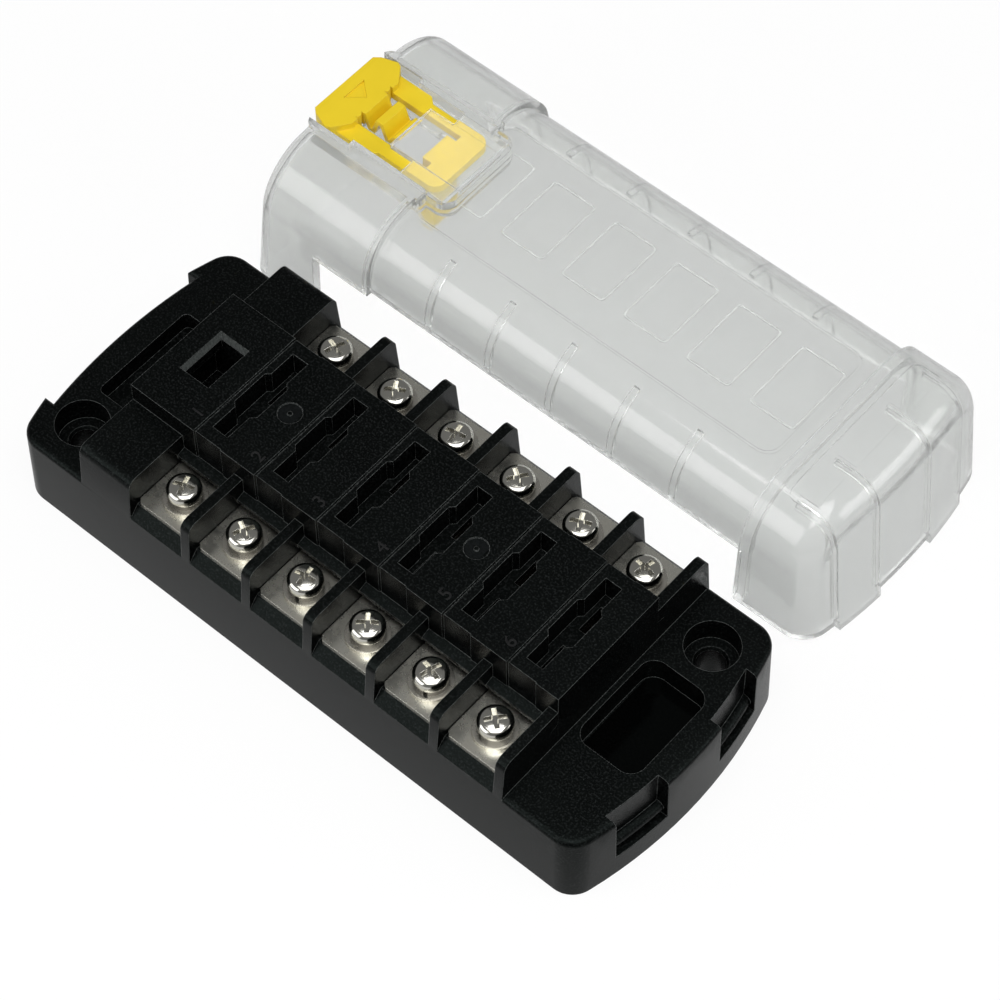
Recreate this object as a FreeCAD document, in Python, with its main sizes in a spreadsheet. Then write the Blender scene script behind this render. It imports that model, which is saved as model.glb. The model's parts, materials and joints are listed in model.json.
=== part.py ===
"""Blade fuse block for six circuits with its clear cover and yellow latch lying beside it."""

import FreeCAD, Part

import math
import os
import re

import Sketcher
from FreeCAD import Placement, Rotation, Vector

# The origin lies midway between the two mounting holes on the underside, with the row of
# circuits along X, the terminals at the front (-Y) and the back, and the loose cover at +Y.
# Driving sizes in millimetres, angles in degrees.
SIZES = {
    # Circuits
    "circuit_count": 6,
    "circuit_pitch": 14.3,
    # Slab
    "slab_top": 16.9,
    "slab_half_width": 27.45,
    "slab_left_x": -68.8,
    "slab_left_radius": 78,
    "slab_right_x": 68.55,
    "slab_right_radius": 90,
    "slab_corner_radius": 5,
    "slab_edge_radius": 1.1,
    "slab_draft": 1.2,
    "recess_half_width": 18.5,
    "recess_step": 2.1,
    "recess_radius": 112,
    # Tower
    "tower_left_x": -48.6,
    "tower_right_x": 49.25,
    "tower_half_width": 13.05,
    "tower_top": 30.8,
    "lip_reach": 1.8,
    "lip_low": 21.5,
    "lip_edge": 22.3,
    "lip_foot": 22.9,
    # Barriers and end blocks
    "block_width": 12.04,
    "barrier_width": 2,
    "barrier_top": 26.5,
    "barrier_draft": 0.9,
    "barrier_radius": 2,
    # Terminal bed
    "bed_top": 19,
    "bed_half_width": 25.35,
    "bed_foot": 16.6,
    # Fuse slots, measured from the left side of each circuit's bay
    "first_groove_x": -33.3,
    "slot_start": 1.8,
    "slot_width": 3.5,
    "slot_half_length": 10.25,
    "slot_middle_start": 0.95,
    "slot_middle_width": 5.35,
    "slot_middle_half": 3.8,
    "slot_depth": 5.3,
    "slot_floor": 1.2,
    "blade_y": 4.95,
    "blade_hole_length": 5.8,
    "blade_hole_width": 1.4,
    "groove_width": 0.5,
    "groove_depth": 0.35,
    "jog_share": 0.43,
    "jog_depth": 0.2,
    # Gate marks on the first and fourth bay
    "gate_offset": 10,
    "gate_y": 0.55,
    "gate_radius": 2.25,
    "gate_depth": 0.25,
    "gate_nub_radius": 0.45,
    # Terminals
    "plate_thickness": 1,
    "plate_width": 12.1,
    "plate_corner": 0.8,
    "screw_y": 19.5,
    "plate_hole_radius": 2.2,
    "strip_width": 3.8,
    "clip_length": 5.4,
    "clip_leaf": 0.6,
    "clip_height": 5,
    "clip_gap": 0.56,
    "chamber_inner_y": 1.8,
    "chamber_outer_y": 10.9,
    # Screws, washers and nuts
    "screw_radius": 2.05,
    "screw_bottom": 11,
    "head_radius": 3.2,
    "head_height": 2.3,
    "head_round": 1.1,
    "head_flat_radius": 1,
    "recess_arm": 1.95,
    "recess_width": 0.85,
    "recess_depth": 1.4,
    "flat_washer_radius": 4.05,
    "flat_washer_height": 0.8,
    "lock_washer_radius": 3.15,
    "lock_washer_height": 1.2,
    "lock_washer_sweep": 346,
    "washer_hole_radius": 2.25,
    "nut_side": 7,
    "nut_height": 2.8,
    "nut_hole_radius": 2.11,
    "nut_pocket_side": 7.3,
    "nut_pocket_depth": 3.2,
    "screw_well_radius": 2.6,
    "screw_well_bottom": 9,
    # Mounting holes
    "mount_x": 57.2,
    "mount_y": 18.45,
    "mount_radius": 2.7,
    "mount_head_radius": 5.05,
    "mount_head_depth": 5.4,
    "mount_chamfer": 0.5,
    # Pockets in the slab
    "left_pocket_x": -60.2,
    "left_pocket_half": 11.4,
    "left_pocket_depth": 4,
    "left_pocket_radius": 1.2,
    "right_pocket_x": 50.4,
    "right_pocket_end": 63.5,
    "right_pocket_half": 10.45,
    "right_pocket_floor": 11.5,
    "right_pocket_radius": 3,
    # Latch hole
    "latch_hole_x": -43.75,
    "latch_hole_end": -37.8,
    "latch_hole_half": 4.8,
    "latch_hole_depth": 12,
    "latch_hole_chamfer": 0.85,
    "latch_catch_depth": 3,
    "latch_catch_reach": 2.2,
    # End notches with their snap bars
    "notch_inner_y": 7,
    "notch_outer_y": 18.65,
    "notch_depth": 2.2,
    "notch_floor": 5.5,
    "bar_radius": 1.3,
    "bar_inset": 1.9,
    "bar_height": 7.3,
    # Cover
    "cover_y": 61.85,
    "cover_wall": 1.8,
    "cover_end_top": 31.5,
    "cover_middle_top": 29.5,
    "cover_end_half": 26.2,
    "cover_end_draft": 1.5,
    "cover_end_lean": 5.8,
    "cover_left_x": -68.7,
    "cover_left_bow": 300,
    "cover_left_edge": 3.5,
    "cover_left_step_x": -38.1,
    "cover_right_x": 67.8,
    "cover_right_bow": 120,
    "cover_right_edge": 6,
    "cover_right_step_x": 48.6,
    "cover_end_round": 12.5,
    "cover_side_edge": 15.8,
    "cover_skirt_x": -51.7,
    "cover_skirt_foot": 2.5,
    "cover_middle_half": 24.6,
    "cover_middle_top_half": 23.9,
    "cover_middle_round": 10.5,
    "cover_tab_inner_y": 7.3,
    "cover_tab_outer_y": 17.7,
    "cover_tab_depth": 5,
    # Ribs inside the cover
    "rib_first_x": -25.1,
    "rib_count": 5,
    "rib_width": 1.3,
    "rib_height": 0.7,
    "rib_inner_y": 16,
    "end_rib_width": 1.1,
    "end_rib_height": 0.8,
    # Lines moulded in the cover's top panel
    "border_half": 14,
    "border_left_x": -38,
    "border_right_x": 45.6,
    "border_line": 0.5,
    "border_depth": 0.25,
    "label_first_x": -22.3,
    "label_count": 5,
    "label_length": 9.9,
    "label_front_y": -6.8,
    "label_back_y": 8.9,
    "label_line": 0.35,
    "label_line_depth": 0.25,
    "label_radius": 1,
    "band_left_x": 52.6,
    "band_right_x": 58.4,
    "band_half": 18.5,
    "band_radius": 1.5,
    "band_depth": 0.3,
    # Latch seat in the cover
    "seat_left_x": -65.6,
    "seat_foot": 19,
    "seat_half": 12,
    "seat_step_x": -37.2,
    "seat_round": 2.5,
    "seat_floor": 28.4,
    "seat_floor_thickness": 1.6,
    "bead_right_x": -32.1,
    "bead_half": 10,
    "bead_radius": 3,
    "tongue_left_x": -49.7,
    "tongue_half": 5.6,
    "tongue_low": 30.5,
    "tongue_thickness": 1.35,
    "recess_right_x": -44.2,
    "leg_slot_left_x": -46,
    "leg_slot_right_x": -38,
    "leg_slot_half": 4.2,
    # Latch
    "latch_clearance": 0.2,
    "latch_travel": 2.5,
    "latch_thickness": 1.7,
    "grip_thickness": 3.15,
    "grip_left_x": -66.2,
    "grip_right_x": -58.4,
    "grip_half": 10.1,
    "grip_front_half": 9,
    "frame_half": 8.85,
    "frame_inner_half": 4.8,
    "rail_step_x": -52.3,
    "rail_step_length": 1.4,
    "rail_half": 7.6,
    "crossbar_left_x": -41.6,
    "crossbar_right_x": -36.7,
    "frame_radius": 2.4,
    "grip_notch_y": 4,
    "grip_notch_half": 0.8,
    "grip_notch_length": 1.7,
    "grip_tip_half": 6.4,
    "grip_slant": 2.4,
    "arrow_half": 2.8,
    "arrow_length": 3.3,
    "arrow_depth": 0.4,
    "spring_right_x": -49.9,
    "spring_half": 3.1,
    "spring_slot_half": 3.7,
    "spring_low": 27.6,
    "spring_leaf": 0.8,
    "leg_thickness": 2.2,
    "leg_half": 3.4,
    "leg_bottom": 11,
    "leg_nose": 1.7,
    "leg_nose_height": 2.4,
}

# How far each screw and each lock washer is turned, from the left, in degrees.
FRONT_SCREW_TURNS = (20, 62, 8, 38, 75, 50)
BACK_SCREW_TURNS = (70, 33, 12, 55, 26, 80)
FRONT_WASHER_TURNS = (250, 205, 290, 235, 300, 260)
BACK_WASHER_TURNS = (215, 280, 240, 310, 225, 270)

doc = FreeCAD.newDocument("fuse_block")
sheet = doc.addObject("Spreadsheet::Sheet", "Sizes")
for row, (alias, size) in enumerate(SIZES.items(), start=1):
    sheet.set(f"A{row}", alias)
    sheet.set(f"B{row}", str(size))
    sheet.setAlias(f"B{row}", alias)
doc.recompute()


def link(text):
    """Point every size named in an expression at the sheet."""
    return re.sub(r"[A-Za-z_]\w*", lambda m: "Sizes." + m.group() if m.group() in SIZES else m.group(), text)


def measure(text):
    """Work out an expression now, for the first place of a sketch's geometry."""
    return float(sheet.evalExpression(link(text)))


def part_body(name):
    body = doc.addObject("PartDesign::Body", name)
    body.Label = name
    return body


def datum(body, role):
    return next(item for item in body.Origin.OriginFeatures if item.Role == role)


def arc_between(start, end, radius):
    """Arc from start to end that bulges to the right of the way for a positive radius."""
    chord = end - start
    middle = (start + end) / 2
    half = chord.Length / 2
    rise = abs(radius) - math.sqrt(max(radius * radius - half * half, 0))
    side = Vector(chord.y, -chord.x, 0).normalize()
    return Part.Arc(start, middle + side * math.copysign(rise, radius), end)


def fix_point(flat, geometry, point, across, up):
    """Tie one sketch point to the expressions of its two coordinates."""
    for kind, axis, text in (("DistanceX", -2, across), ("DistanceY", -1, up)):
        amount = measure(text)
        if abs(amount) < 1e-7:
            flat.addConstraint(Sketcher.Constraint("PointOnObject", geometry, point, axis))
            continue
        index = flat.addConstraint(Sketcher.Constraint(kind, -1, 1, geometry, point, amount))
        flat.setExpression(f"Constraints[{index}]", link(text))


def draw_loop(flat, corners):
    """Closed outline; a corner is (across, up), or (across, up, radius) before an arc."""
    spots = [Vector(measure(c[0]), measure(c[1]), 0) for c in corners]
    ends = []
    for number, corner in enumerate(corners):
        start = spots[number]
        end = spots[(number + 1) % len(spots)]
        if len(corner) == 3:
            geometry = flat.addGeometry(arc_between(start, end, measure(corner[2])), False)
            forward = flat.getPoint(geometry, 1).distanceToPoint(start) < 1e-6
            ends.append((geometry, 1, 2) if forward else (geometry, 2, 1))
        else:
            ends.append((flat.addGeometry(Part.LineSegment(start, end), False), 1, 2))
    for number, corner in enumerate(corners):
        geometry, first, _ = ends[number]
        before, _, last = ends[number - 1]
        flat.addConstraint(Sketcher.Constraint("Coincident", before, last, geometry, first))
        fix_point(flat, geometry, first, corner[0], corner[1])
    for number, corner in enumerate(corners):
        if len(corner) == 3:
            radius = abs(measure(corner[2]))
            index = flat.addConstraint(Sketcher.Constraint("Radius", ends[number][0], radius))
            flat.setExpression(f"Constraints[{index}]", link(f"abs({corner[2]})"))


def draw_circle(flat, across, up, radius):
    centre = Vector(measure(across), measure(up), 0)
    geometry = flat.addGeometry(Part.Circle(centre, Vector(0, 0, 1), measure(radius)), False)
    fix_point(flat, geometry, 3, across, up)
    index = flat.addConstraint(Sketcher.Constraint("Radius", geometry, measure(radius)))
    flat.setExpression(f"Constraints[{index}]", link(radius))


def sketch(body, name, role, level="", loops=(), circles=()):
    """Sketch on one of the body's own planes, moved along the plane's normal by level."""
    flat = body.newObject("Sketcher::SketchObject", name)
    flat.AttachmentSupport = [(datum(body, role), "")]
    flat.MapMode = "FlatFace"
    if level:
        flat.setExpression("AttachmentOffset.Base.z", link(level))
    for corners in loops:
        draw_loop(flat, corners)
    for circle in circles:
        draw_circle(flat, *circle)
    return flat


def feature(body, kind, name, flat, length="", taper=""):
    """Pad or pocket of a sketch; a pocket without a length goes through all."""
    step = body.newObject("PartDesign::" + kind, name)
    step.Profile = flat
    if length:
        step.setExpression("Length", link(length))
    else:
        step.Type = "ThroughAll"
    if taper:
        step.setExpression("TaperAngle", link(taper))
    flat.Visibility = False
    body.Tip = step
    return step


def dress(body, kind, name, size, test):
    """Fillet or chamfer of every edge of the body's last step that passes the test."""
    doc.recompute()
    base = body.Tip
    chosen = [f"Edge{n}" for n, edge in enumerate(base.Shape.Edges, start=1) if test(edge)]
    if not chosen:
        raise ValueError(f"no edge for {name}")
    step = body.newObject("PartDesign::" + kind, name)
    step.Base = (base, chosen)
    step.setExpression("Radius" if kind == "Fillet" else "Size", link(size))
    body.Tip = step
    return step


def row_of(body, name, originals, count, pitch):
    """Repeat features along X."""
    step = body.newObject("PartDesign::LinearPattern", name)
    step.Originals = originals
    step.Direction = (datum(body, "X_Axis"), [""])
    step.setExpression("Length", link(f"({count} - 1) * {pitch}"))
    step.setExpression("Occurrences", link(count))
    body.Tip = step
    return step


def box_loop(left, right, low, high):
    return [(left, low), (right, low), (right, high), (left, high)]


def both_sides(left, right, near, far):
    """The same rectangle in front of and behind the centre line."""
    return [box_loop(left, right, f"-({far})", f"-({near})"), box_loop(left, right, near, far)]


def runs_along(edge, axis):
    """True for a straight edge along one axis."""
    if edge.Curve.TypeId != "Part::GeomLine":
        return False
    way = edge.Vertexes[1].Point - edge.Vertexes[0].Point
    return abs(abs(way.normalize().dot(axis)) - 1) < 1e-6


def lies_at(amount, text):
    return abs(amount - measure(text)) < 1e-4


ALONG_X = Vector(1, 0, 0)
ALONG_Y = Vector(0, 1, 0)
ALONG_Z = Vector(0, 0, 1)

# Base housing: slab with arched ends
base = part_body("base_housing")
left_corner_x = "slab_left_x + slab_half_width ^ 2 / (2 * slab_left_radius)"
left_step_x = "slab_left_x + recess_half_width ^ 2 / (2 * slab_left_radius)"
right_corner_x = "slab_right_x - slab_half_width ^ 2 / (2 * slab_right_radius)"
slab_outline = [
    (left_corner_x, "-slab_half_width"),
    (right_corner_x, "-slab_half_width", "slab_right_radius"),
    (right_corner_x, "slab_half_width"),
    (left_corner_x, "slab_half_width", "slab_left_radius"),
    (left_step_x, "recess_half_width"),
    (f"{left_step_x} + recess_step", "recess_half_width", "recess_radius"),
    (f"{left_step_x} + recess_step", "-recess_half_width"),
    (left_step_x, "-recess_half_width", "slab_left_radius"),
]
slab_sketch = sketch(base, "slab_sketch", "XY_Plane", "slab_top", [slab_outline])
slab = feature(base, "Pad", "slab", slab_sketch, "slab_top", "slab_draft")
slab.Reversed = True
dress(base, "Fillet", "slab_corners", "slab_corner_radius", lambda e: (
    abs(e.Vertexes[0].Point.y) > measure("slab_half_width") - 0.01
    and abs(e.Vertexes[0].Point.z - e.Vertexes[-1].Point.z) > measure("slab_top") - 0.01))
dress(base, "Fillet", "slab_top_edge", "slab_edge_radius", lambda e: (
    lies_at(e.BoundBox.ZMin, "slab_top") and lies_at(e.BoundBox.ZMax, "slab_top")))

# Base housing: terminal bed, tower, barriers and end blocks as side profiles
inside_low = "bed_foot - 2"
bed_profile = [
    ("-slab_half_width", inside_low),
    ("slab_half_width", inside_low),
    ("slab_half_width", "bed_foot"),
    ("bed_half_width", "bed_top"),
    ("-bed_half_width", "bed_top"),
    ("-slab_half_width", "bed_foot"),
]
bed_sketch = sketch(base, "bed_sketch", "YZ_Plane", "tower_left_x + block_width - 1", [bed_profile])
feature(base, "Pad", "bed", bed_sketch, "tower_right_x - tower_left_x - block_width")
lip_y = "tower_half_width + lip_reach"
tower_profile = [
    ("-tower_half_width", inside_low),
    ("tower_half_width", inside_low),
    ("tower_half_width", "lip_low"),
    (lip_y, "lip_low"),
    (lip_y, "lip_edge"),
    ("tower_half_width", "lip_foot"),
    ("tower_half_width", "tower_top"),
    ("-tower_half_width", "tower_top"),
    ("-tower_half_width", "lip_foot"),
    (f"-({lip_y})", "lip_edge"),
    (f"-({lip_y})", "lip_low"),
    ("-tower_half_width", "lip_low"),
]
tower_sketch = sketch(base, "tower_sketch", "YZ_Plane", "tower_left_x", [tower_profile])
feature(base, "Pad", "tower", tower_sketch, "tower_right_x - tower_left_x")
wall_profile = [
    ("-slab_half_width", inside_low),
    ("slab_half_width", inside_low),
    ("slab_half_width", "bed_foot"),
    ("slab_half_width - barrier_draft", "barrier_top"),
    ("barrier_draft - slab_half_width", "barrier_top"),
    ("-slab_half_width", "bed_foot"),
]
block_sketch = sketch(base, "block_sketch", "YZ_Plane", "tower_left_x", [wall_profile])
feature(base, "Pad", "end_block", block_sketch, "block_width")
first_barrier_x = "tower_left_x + block_width + circuit_pitch - barrier_width"
barrier_sketch = sketch(base, "barrier_sketch", "YZ_Plane", first_barrier_x, [wall_profile])
barrier = feature(base, "Pad", "barrier", barrier_sketch, "barrier_width")
row_of(base, "barriers", [barrier], "circuit_count", "circuit_pitch")
dress(base, "Fillet", "barrier_noses", "barrier_radius", lambda e: (
    runs_along(e, ALONG_X) and lies_at(e.Vertexes[0].Point.z, "barrier_top")
    and lies_at(abs(e.Vertexes[0].Point.y), "slab_half_width - barrier_draft")))

# Base housing: one circuit's grooves, slot, clip chambers, nut pockets and screw wells
groove_x = "first_groove_x"
side_groove = []
for way in ("", "-"):
    side_groove.append([
        (f"{groove_x} - groove_width / 2", f"{way}(tower_half_width + groove_depth)"),
        (f"{groove_x} + groove_width / 2", f"{way}(tower_half_width + groove_depth)"),
        (f"{groove_x} + groove_width / 2", f"{way}tower_half_width"),
        (groove_x, f"{way}(tower_half_width - groove_depth)"),
        (f"{groove_x} - groove_width / 2", f"{way}tower_half_width"),
    ])
side_groove_sketch = sketch(base, "side_groove_sketch", "XY_Plane", "tower_top", side_groove)
side_grooves = feature(base, "Pocket", "side_grooves", side_groove_sketch, "tower_top - lip_foot")
top_groove = [
    (f"{groove_x} - groove_width / 2", "tower_top + groove_depth"),
    (f"{groove_x} - groove_width / 2", "tower_top"),
    (groove_x, "tower_top - groove_depth"),
    (f"{groove_x} + groove_width / 2", "tower_top"),
    (f"{groove_x} + groove_width / 2", "tower_top + groove_depth"),
]
top_groove_sketch = sketch(base, "top_groove_sketch", "XZ_Plane", "-tower_half_width", [top_groove])
top_grooves = feature(base, "Pocket", "top_grooves", top_groove_sketch, "2 * tower_half_width")
top_grooves.Reversed = True
jog_sketch = sketch(base, "jog_sketch", "XY_Plane", "tower_top", both_sides(
    f"{groove_x}", f"{groove_x} + circuit_pitch * jog_share",
    "tower_half_width - jog_depth", "tower_half_width + jog_depth"))
jogs = feature(base, "Pocket", "jogs", jog_sketch, "tower_top - lip_foot")
slot_left = f"{groove_x} + slot_start"
slot_right = f"{slot_left} + slot_width"
middle_left = f"{groove_x} + slot_middle_start"
middle_right = f"{middle_left} + slot_middle_width"
left_jog = "slot_middle_half + slot_start - slot_middle_start"
right_jog = "slot_middle_half + slot_middle_start + slot_middle_width - slot_start - slot_width"
slot_outline = [
    (slot_left, "-slot_half_length"),
    (slot_right, "-slot_half_length"),
    (slot_right, f"-({right_jog})"),
    (middle_right, "-slot_middle_half"),
    (middle_right, "slot_middle_half"),
    (slot_right, right_jog),
    (slot_right, "slot_half_length"),
    (slot_left, "slot_half_length"),
    (slot_left, left_jog),
    (middle_left, "slot_middle_half"),
    (middle_left, "-slot_middle_half"),
    (slot_left, f"-({left_jog})"),
]
slot_sketch = sketch(base, "slot_sketch", "XY_Plane", "tower_top", [slot_outline])
slot = feature(base, "Pocket", "fuse_slot", slot_sketch, "slot_depth")
slot_centre = f"({slot_left} + slot_width / 2)"
blade_sketch = sketch(base, "blade_sketch", "XY_Plane", "tower_top - slot_depth", both_sides(
    f"{slot_centre} - blade_hole_width / 2", f"{slot_centre} + blade_hole_width / 2",
    "blade_y - blade_hole_length / 2", "blade_y + blade_hole_length / 2"))
blade_holes = feature(base, "Pocket", "blade_holes", blade_sketch, "slot_floor + 0.2")
chamber_top = "tower_top - slot_depth - slot_floor"
chamber_sketch = sketch(base, "chamber_sketch", "XY_Plane", chamber_top, both_sides(
    middle_left, middle_right, "chamber_inner_y", "chamber_outer_y"))
chambers = feature(base, "Pocket", "clip_chambers", chamber_sketch, f"{chamber_top} - bed_top")
window_sketch = sketch(base, "window_sketch", "XY_Plane", "lip_low", both_sides(
    middle_left, middle_right, "chamber_outer_y - 0.5", "tower_half_width + 0.5"))
windows = feature(base, "Pocket", "strip_windows", window_sketch, "lip_low - bed_top")
screw_x = "(tower_left_x + block_width + (circuit_pitch - barrier_width) / 2)"
nut_sketch = sketch(base, "nut_sketch", "XY_Plane", "bed_top", both_sides(
    f"{screw_x} - nut_pocket_side / 2", f"{screw_x} + nut_pocket_side / 2",
    "screw_y - nut_pocket_side / 2", "screw_y + nut_pocket_side / 2"))
nut_pockets = feature(base, "Pocket", "nut_pockets", nut_sketch, "nut_pocket_depth")
well_sketch = sketch(base, "well_sketch", "XY_Plane", "bed_top", circles=[
    (screw_x, "-screw_y", "screw_well_radius"),
    (screw_x, "screw_y", "screw_well_radius")])
wells = feature(base, "Pocket", "screw_wells", well_sketch, "bed_top - screw_well_bottom")
row_of(base, "circuits", [side_grooves, top_grooves, jogs, slot, blade_holes, chambers, windows,
                          nut_pockets, wells], "circuit_count", "circuit_pitch")

# Base housing: gate marks
gate_x = f"({groove_x} + gate_offset)"
gate_sketch = sketch(base, "gate_sketch", "XY_Plane", "tower_top", circles=[
    (gate_x, "gate_y", "gate_radius"),
    (gate_x, "gate_y", "gate_nub_radius"),
    (f"{gate_x} + 3 * circuit_pitch", "gate_y", "gate_radius"),
    (f"{gate_x} + 3 * circuit_pitch", "gate_y", "gate_nub_radius")])
feature(base, "Pocket", "gate_marks", gate_sketch, "gate_depth")

# Base housing: pockets in the slab
left_pocket_sketch = sketch(base, "left_pocket_sketch", "XY_Plane", "slab_top", [box_loop(
    "left_pocket_x", "tower_left_x", "-left_pocket_half", "left_pocket_half")])
feature(base, "Pocket", "left_pocket", left_pocket_sketch, "left_pocket_depth")
dress(base, "Fillet", "left_pocket_corners", "left_pocket_radius", lambda e: (
    runs_along(e, ALONG_Z) and lies_at(e.Vertexes[0].Point.x, "left_pocket_x")
    and lies_at(abs(e.Vertexes[0].Point.y), "left_pocket_half")))
right_pocket_sketch = sketch(base, "right_pocket_sketch", "XY_Plane", "slab_top", [box_loop(
    "right_pocket_x", "right_pocket_end", "-right_pocket_half", "right_pocket_half")])
feature(base, "Pocket", "right_pocket", right_pocket_sketch, "slab_top - right_pocket_floor")
dress(base, "Fillet", "right_pocket_corners", "right_pocket_radius", lambda e: (
    runs_along(e, ALONG_Z) and lies_at(abs(e.Vertexes[0].Point.y), "right_pocket_half")
    and e.Vertexes[0].Point.x > measure("right_pocket_x") - 0.01))

# Base housing: mounting holes
mount_spots = (("-mount_x", "-mount_y"), ("mount_x", "mount_y"))
head_sketch = sketch(base, "mount_head_sketch", "XY_Plane", "slab_top", circles=[
    (x, y, "mount_head_radius") for x, y in mount_spots])
feature(base, "Pocket", "mount_heads", head_sketch, "mount_head_depth")
hole_sketch = sketch(base, "mount_hole_sketch", "XY_Plane", "slab_top", circles=[
    (x, y, "mount_radius") for x, y in mount_spots])
feature(base, "Pocket", "mount_holes", hole_sketch)
dress(base, "Chamfer", "mount_hole_chamfers", "mount_chamfer", lambda e: (
    e.Curve.TypeId == "Part::GeomCircle" and lies_at(e.Curve.Radius, "mount_radius")
    and lies_at(e.CenterOfMass.z, "slab_top - mount_head_depth")))

# Base housing: latch hole with its catch under the left edge
latch_hole = box_loop("latch_hole_x", "latch_hole_end", "-latch_hole_half", "latch_hole_half")
latch_hole_sketch = sketch(base, "latch_hole_sketch", "XY_Plane", "tower_top", [latch_hole])
feature(base, "Pocket", "latch_hole", latch_hole_sketch, "latch_hole_depth")
dress(base, "Chamfer", "latch_hole_edges", "latch_hole_chamfer", lambda e: (
    lies_at(e.Vertexes[0].Point.z, "tower_top") and lies_at(e.Vertexes[-1].Point.z, "tower_top")
    and (lies_at(e.CenterOfMass.x, "latch_hole_x")
         or (lies_at(e.CenterOfMass.y, "latch_hole_half")
             and e.CenterOfMass.x < measure("latch_hole_end")))))
catch_sketch = sketch(base, "catch_sketch", "XY_Plane", "tower_top - latch_catch_depth", [box_loop(
    "latch_hole_x - latch_catch_reach", "latch_hole_end", "-latch_hole_half", "latch_hole_half")])
feature(base, "Pocket", "latch_catch", catch_sketch, "latch_hole_depth - latch_catch_depth")

# Base housing: end notches with the round bars that follow the arched end
arc_centre_x = "(slab_right_x - slab_right_radius)"
notch_radius = "(slab_right_radius - notch_depth)"
notches = []
for near, far in (("notch_inner_y", "notch_outer_y"), ("-notch_outer_y", "-notch_inner_y")):
    low_x = f"{arc_centre_x} + sqrt({notch_radius} ^ 2 - ({near}) ^ 2)"
    high_x = f"{arc_centre_x} + sqrt({notch_radius} ^ 2 - ({far}) ^ 2)"
    notches.append([
        (low_x, near),
        (f"slab_right_x + 3", near),
        (f"slab_right_x + 3", far),
        (high_x, far, f"-{notch_radius}"),
    ])
notch_sketch = sketch(base, "notch_sketch", "XY_Plane", "slab_top", notches)
feature(base, "Pocket", "end_notches", notch_sketch, "slab_top - notch_floor")
bar_sketch = sketch(base, "bar_sketch", "XZ_Plane", circles=[
    ("slab_right_x - bar_inset", "bar_height", "bar_radius")])
axis_line = bar_sketch.addGeometry(Part.LineSegment(
    Vector(measure(arc_centre_x), 0, 0), Vector(measure(arc_centre_x), 1, 0)), True)
fix_point(bar_sketch, axis_line, 1, arc_centre_x, "0")
fix_point(bar_sketch, axis_line, 2, arc_centre_x, "1")
bars = base.newObject("PartDesign::Revolution", "end_bars")
bars.Profile = bar_sketch
bars.ReferenceAxis = (bar_sketch, ["Axis0"])
bars.Midplane = True
bars.setExpression("Angle", link(f"2 * asin((notch_outer_y + 1) / ({notch_radius}))"))
bar_sketch.Visibility = False
base.Tip = bars
doc.recompute()


def build_terminal(name, row, number):
    """Screw plate with its strip and the spring clip for one blade; row is -1 at the front."""
    sign = "-" if row < 0 else ""
    body = part_body(name)
    edge = "plate_width / 2"
    cut = "plate_corner"
    plate = [
        (f"-{edge}", f"{sign}(tower_half_width + 0.4)"),
        (edge, f"{sign}(tower_half_width + 0.4)"),
        (edge, f"{sign}(bed_half_width - {cut})"),
        (f"{edge} - {cut}", f"{sign}bed_half_width"),
        (f"{cut} - {edge}", f"{sign}bed_half_width"),
        (f"-{edge}", f"{sign}(bed_half_width - {cut})"),
    ]
    clip_x = f"({slot_centre} - {screw_x})"
    plate_sketch = sketch(body, name + "_plate_sketch", "XY_Plane", "bed_top", [plate], [
        ("0", f"{sign}screw_y", "plate_hole_radius")])
    feature(body, "Pad", name + "_plate", plate_sketch, "plate_thickness")
    strip_near = "blade_y - clip_length / 2"
    strip = box_loop(f"{clip_x} - strip_width / 2", f"{clip_x} + strip_width / 2",
                     f"{sign}({strip_near})", f"{sign}(tower_half_width + 1)")
    strip_sketch = sketch(body, name + "_strip_sketch", "XY_Plane", "bed_top", [strip])
    feature(body, "Pad", name + "_strip", strip_sketch, "plate_thickness")
    root = "strip_width / 2"
    inner = "(strip_width / 2 - clip_leaf)"
    neck = "clip_gap / 2"
    base_z = "bed_top"
    knee = f"({base_z} + 0.42 * clip_height)"
    throat = f"({base_z} + 0.84 * clip_height)"
    tip = f"({base_z} + clip_height)"
    leaf = [
        (f"{clip_x} - {root}", base_z),
        (f"{clip_x} - {root}", knee),
        (f"{clip_x} - {neck} - clip_leaf", throat),
        (f"{clip_x} - {neck} - 1.7 * clip_leaf", tip),
        (f"{clip_x} - {neck} - 0.8 * clip_leaf", tip),
        (f"{clip_x} - {neck}", throat),
        (f"{clip_x} - {inner}", knee),
        (f"{clip_x} - {inner}", f"{base_z} + plate_thickness"),
    ]
    opposite = [(text.replace(f"{clip_x} - ", f"{clip_x} + ").replace(
        f"{neck} - ", f"{neck} + "), height) for text, height in reversed(leaf)]
    side_level = f"-({sign}(blade_y)) - clip_length / 2"
    clip_sketch = sketch(body, name + "_clip_sketch", "XZ_Plane", side_level, [leaf + opposite])
    feature(body, "Pad", name + "_clip", clip_sketch, "clip_length")
    body.setExpression("Placement.Base.x", link(f"{screw_x} + {number} * circuit_pitch"))
    return body


def place_on_screw(item, row, number, level, turn=0):
    """Put a fastener on its screw's axis at a height, turned about it."""
    item.Placement = Placement(Vector(0, 0, 0), Rotation(ALONG_Z, turn))
    item.setExpression("Placement.Base.x", link(f"{screw_x} + {number} * circuit_pitch"))
    item.setExpression("Placement.Base.y", link(f"{row} * screw_y"))
    item.setExpression("Placement.Base.z", link(level))


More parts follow.
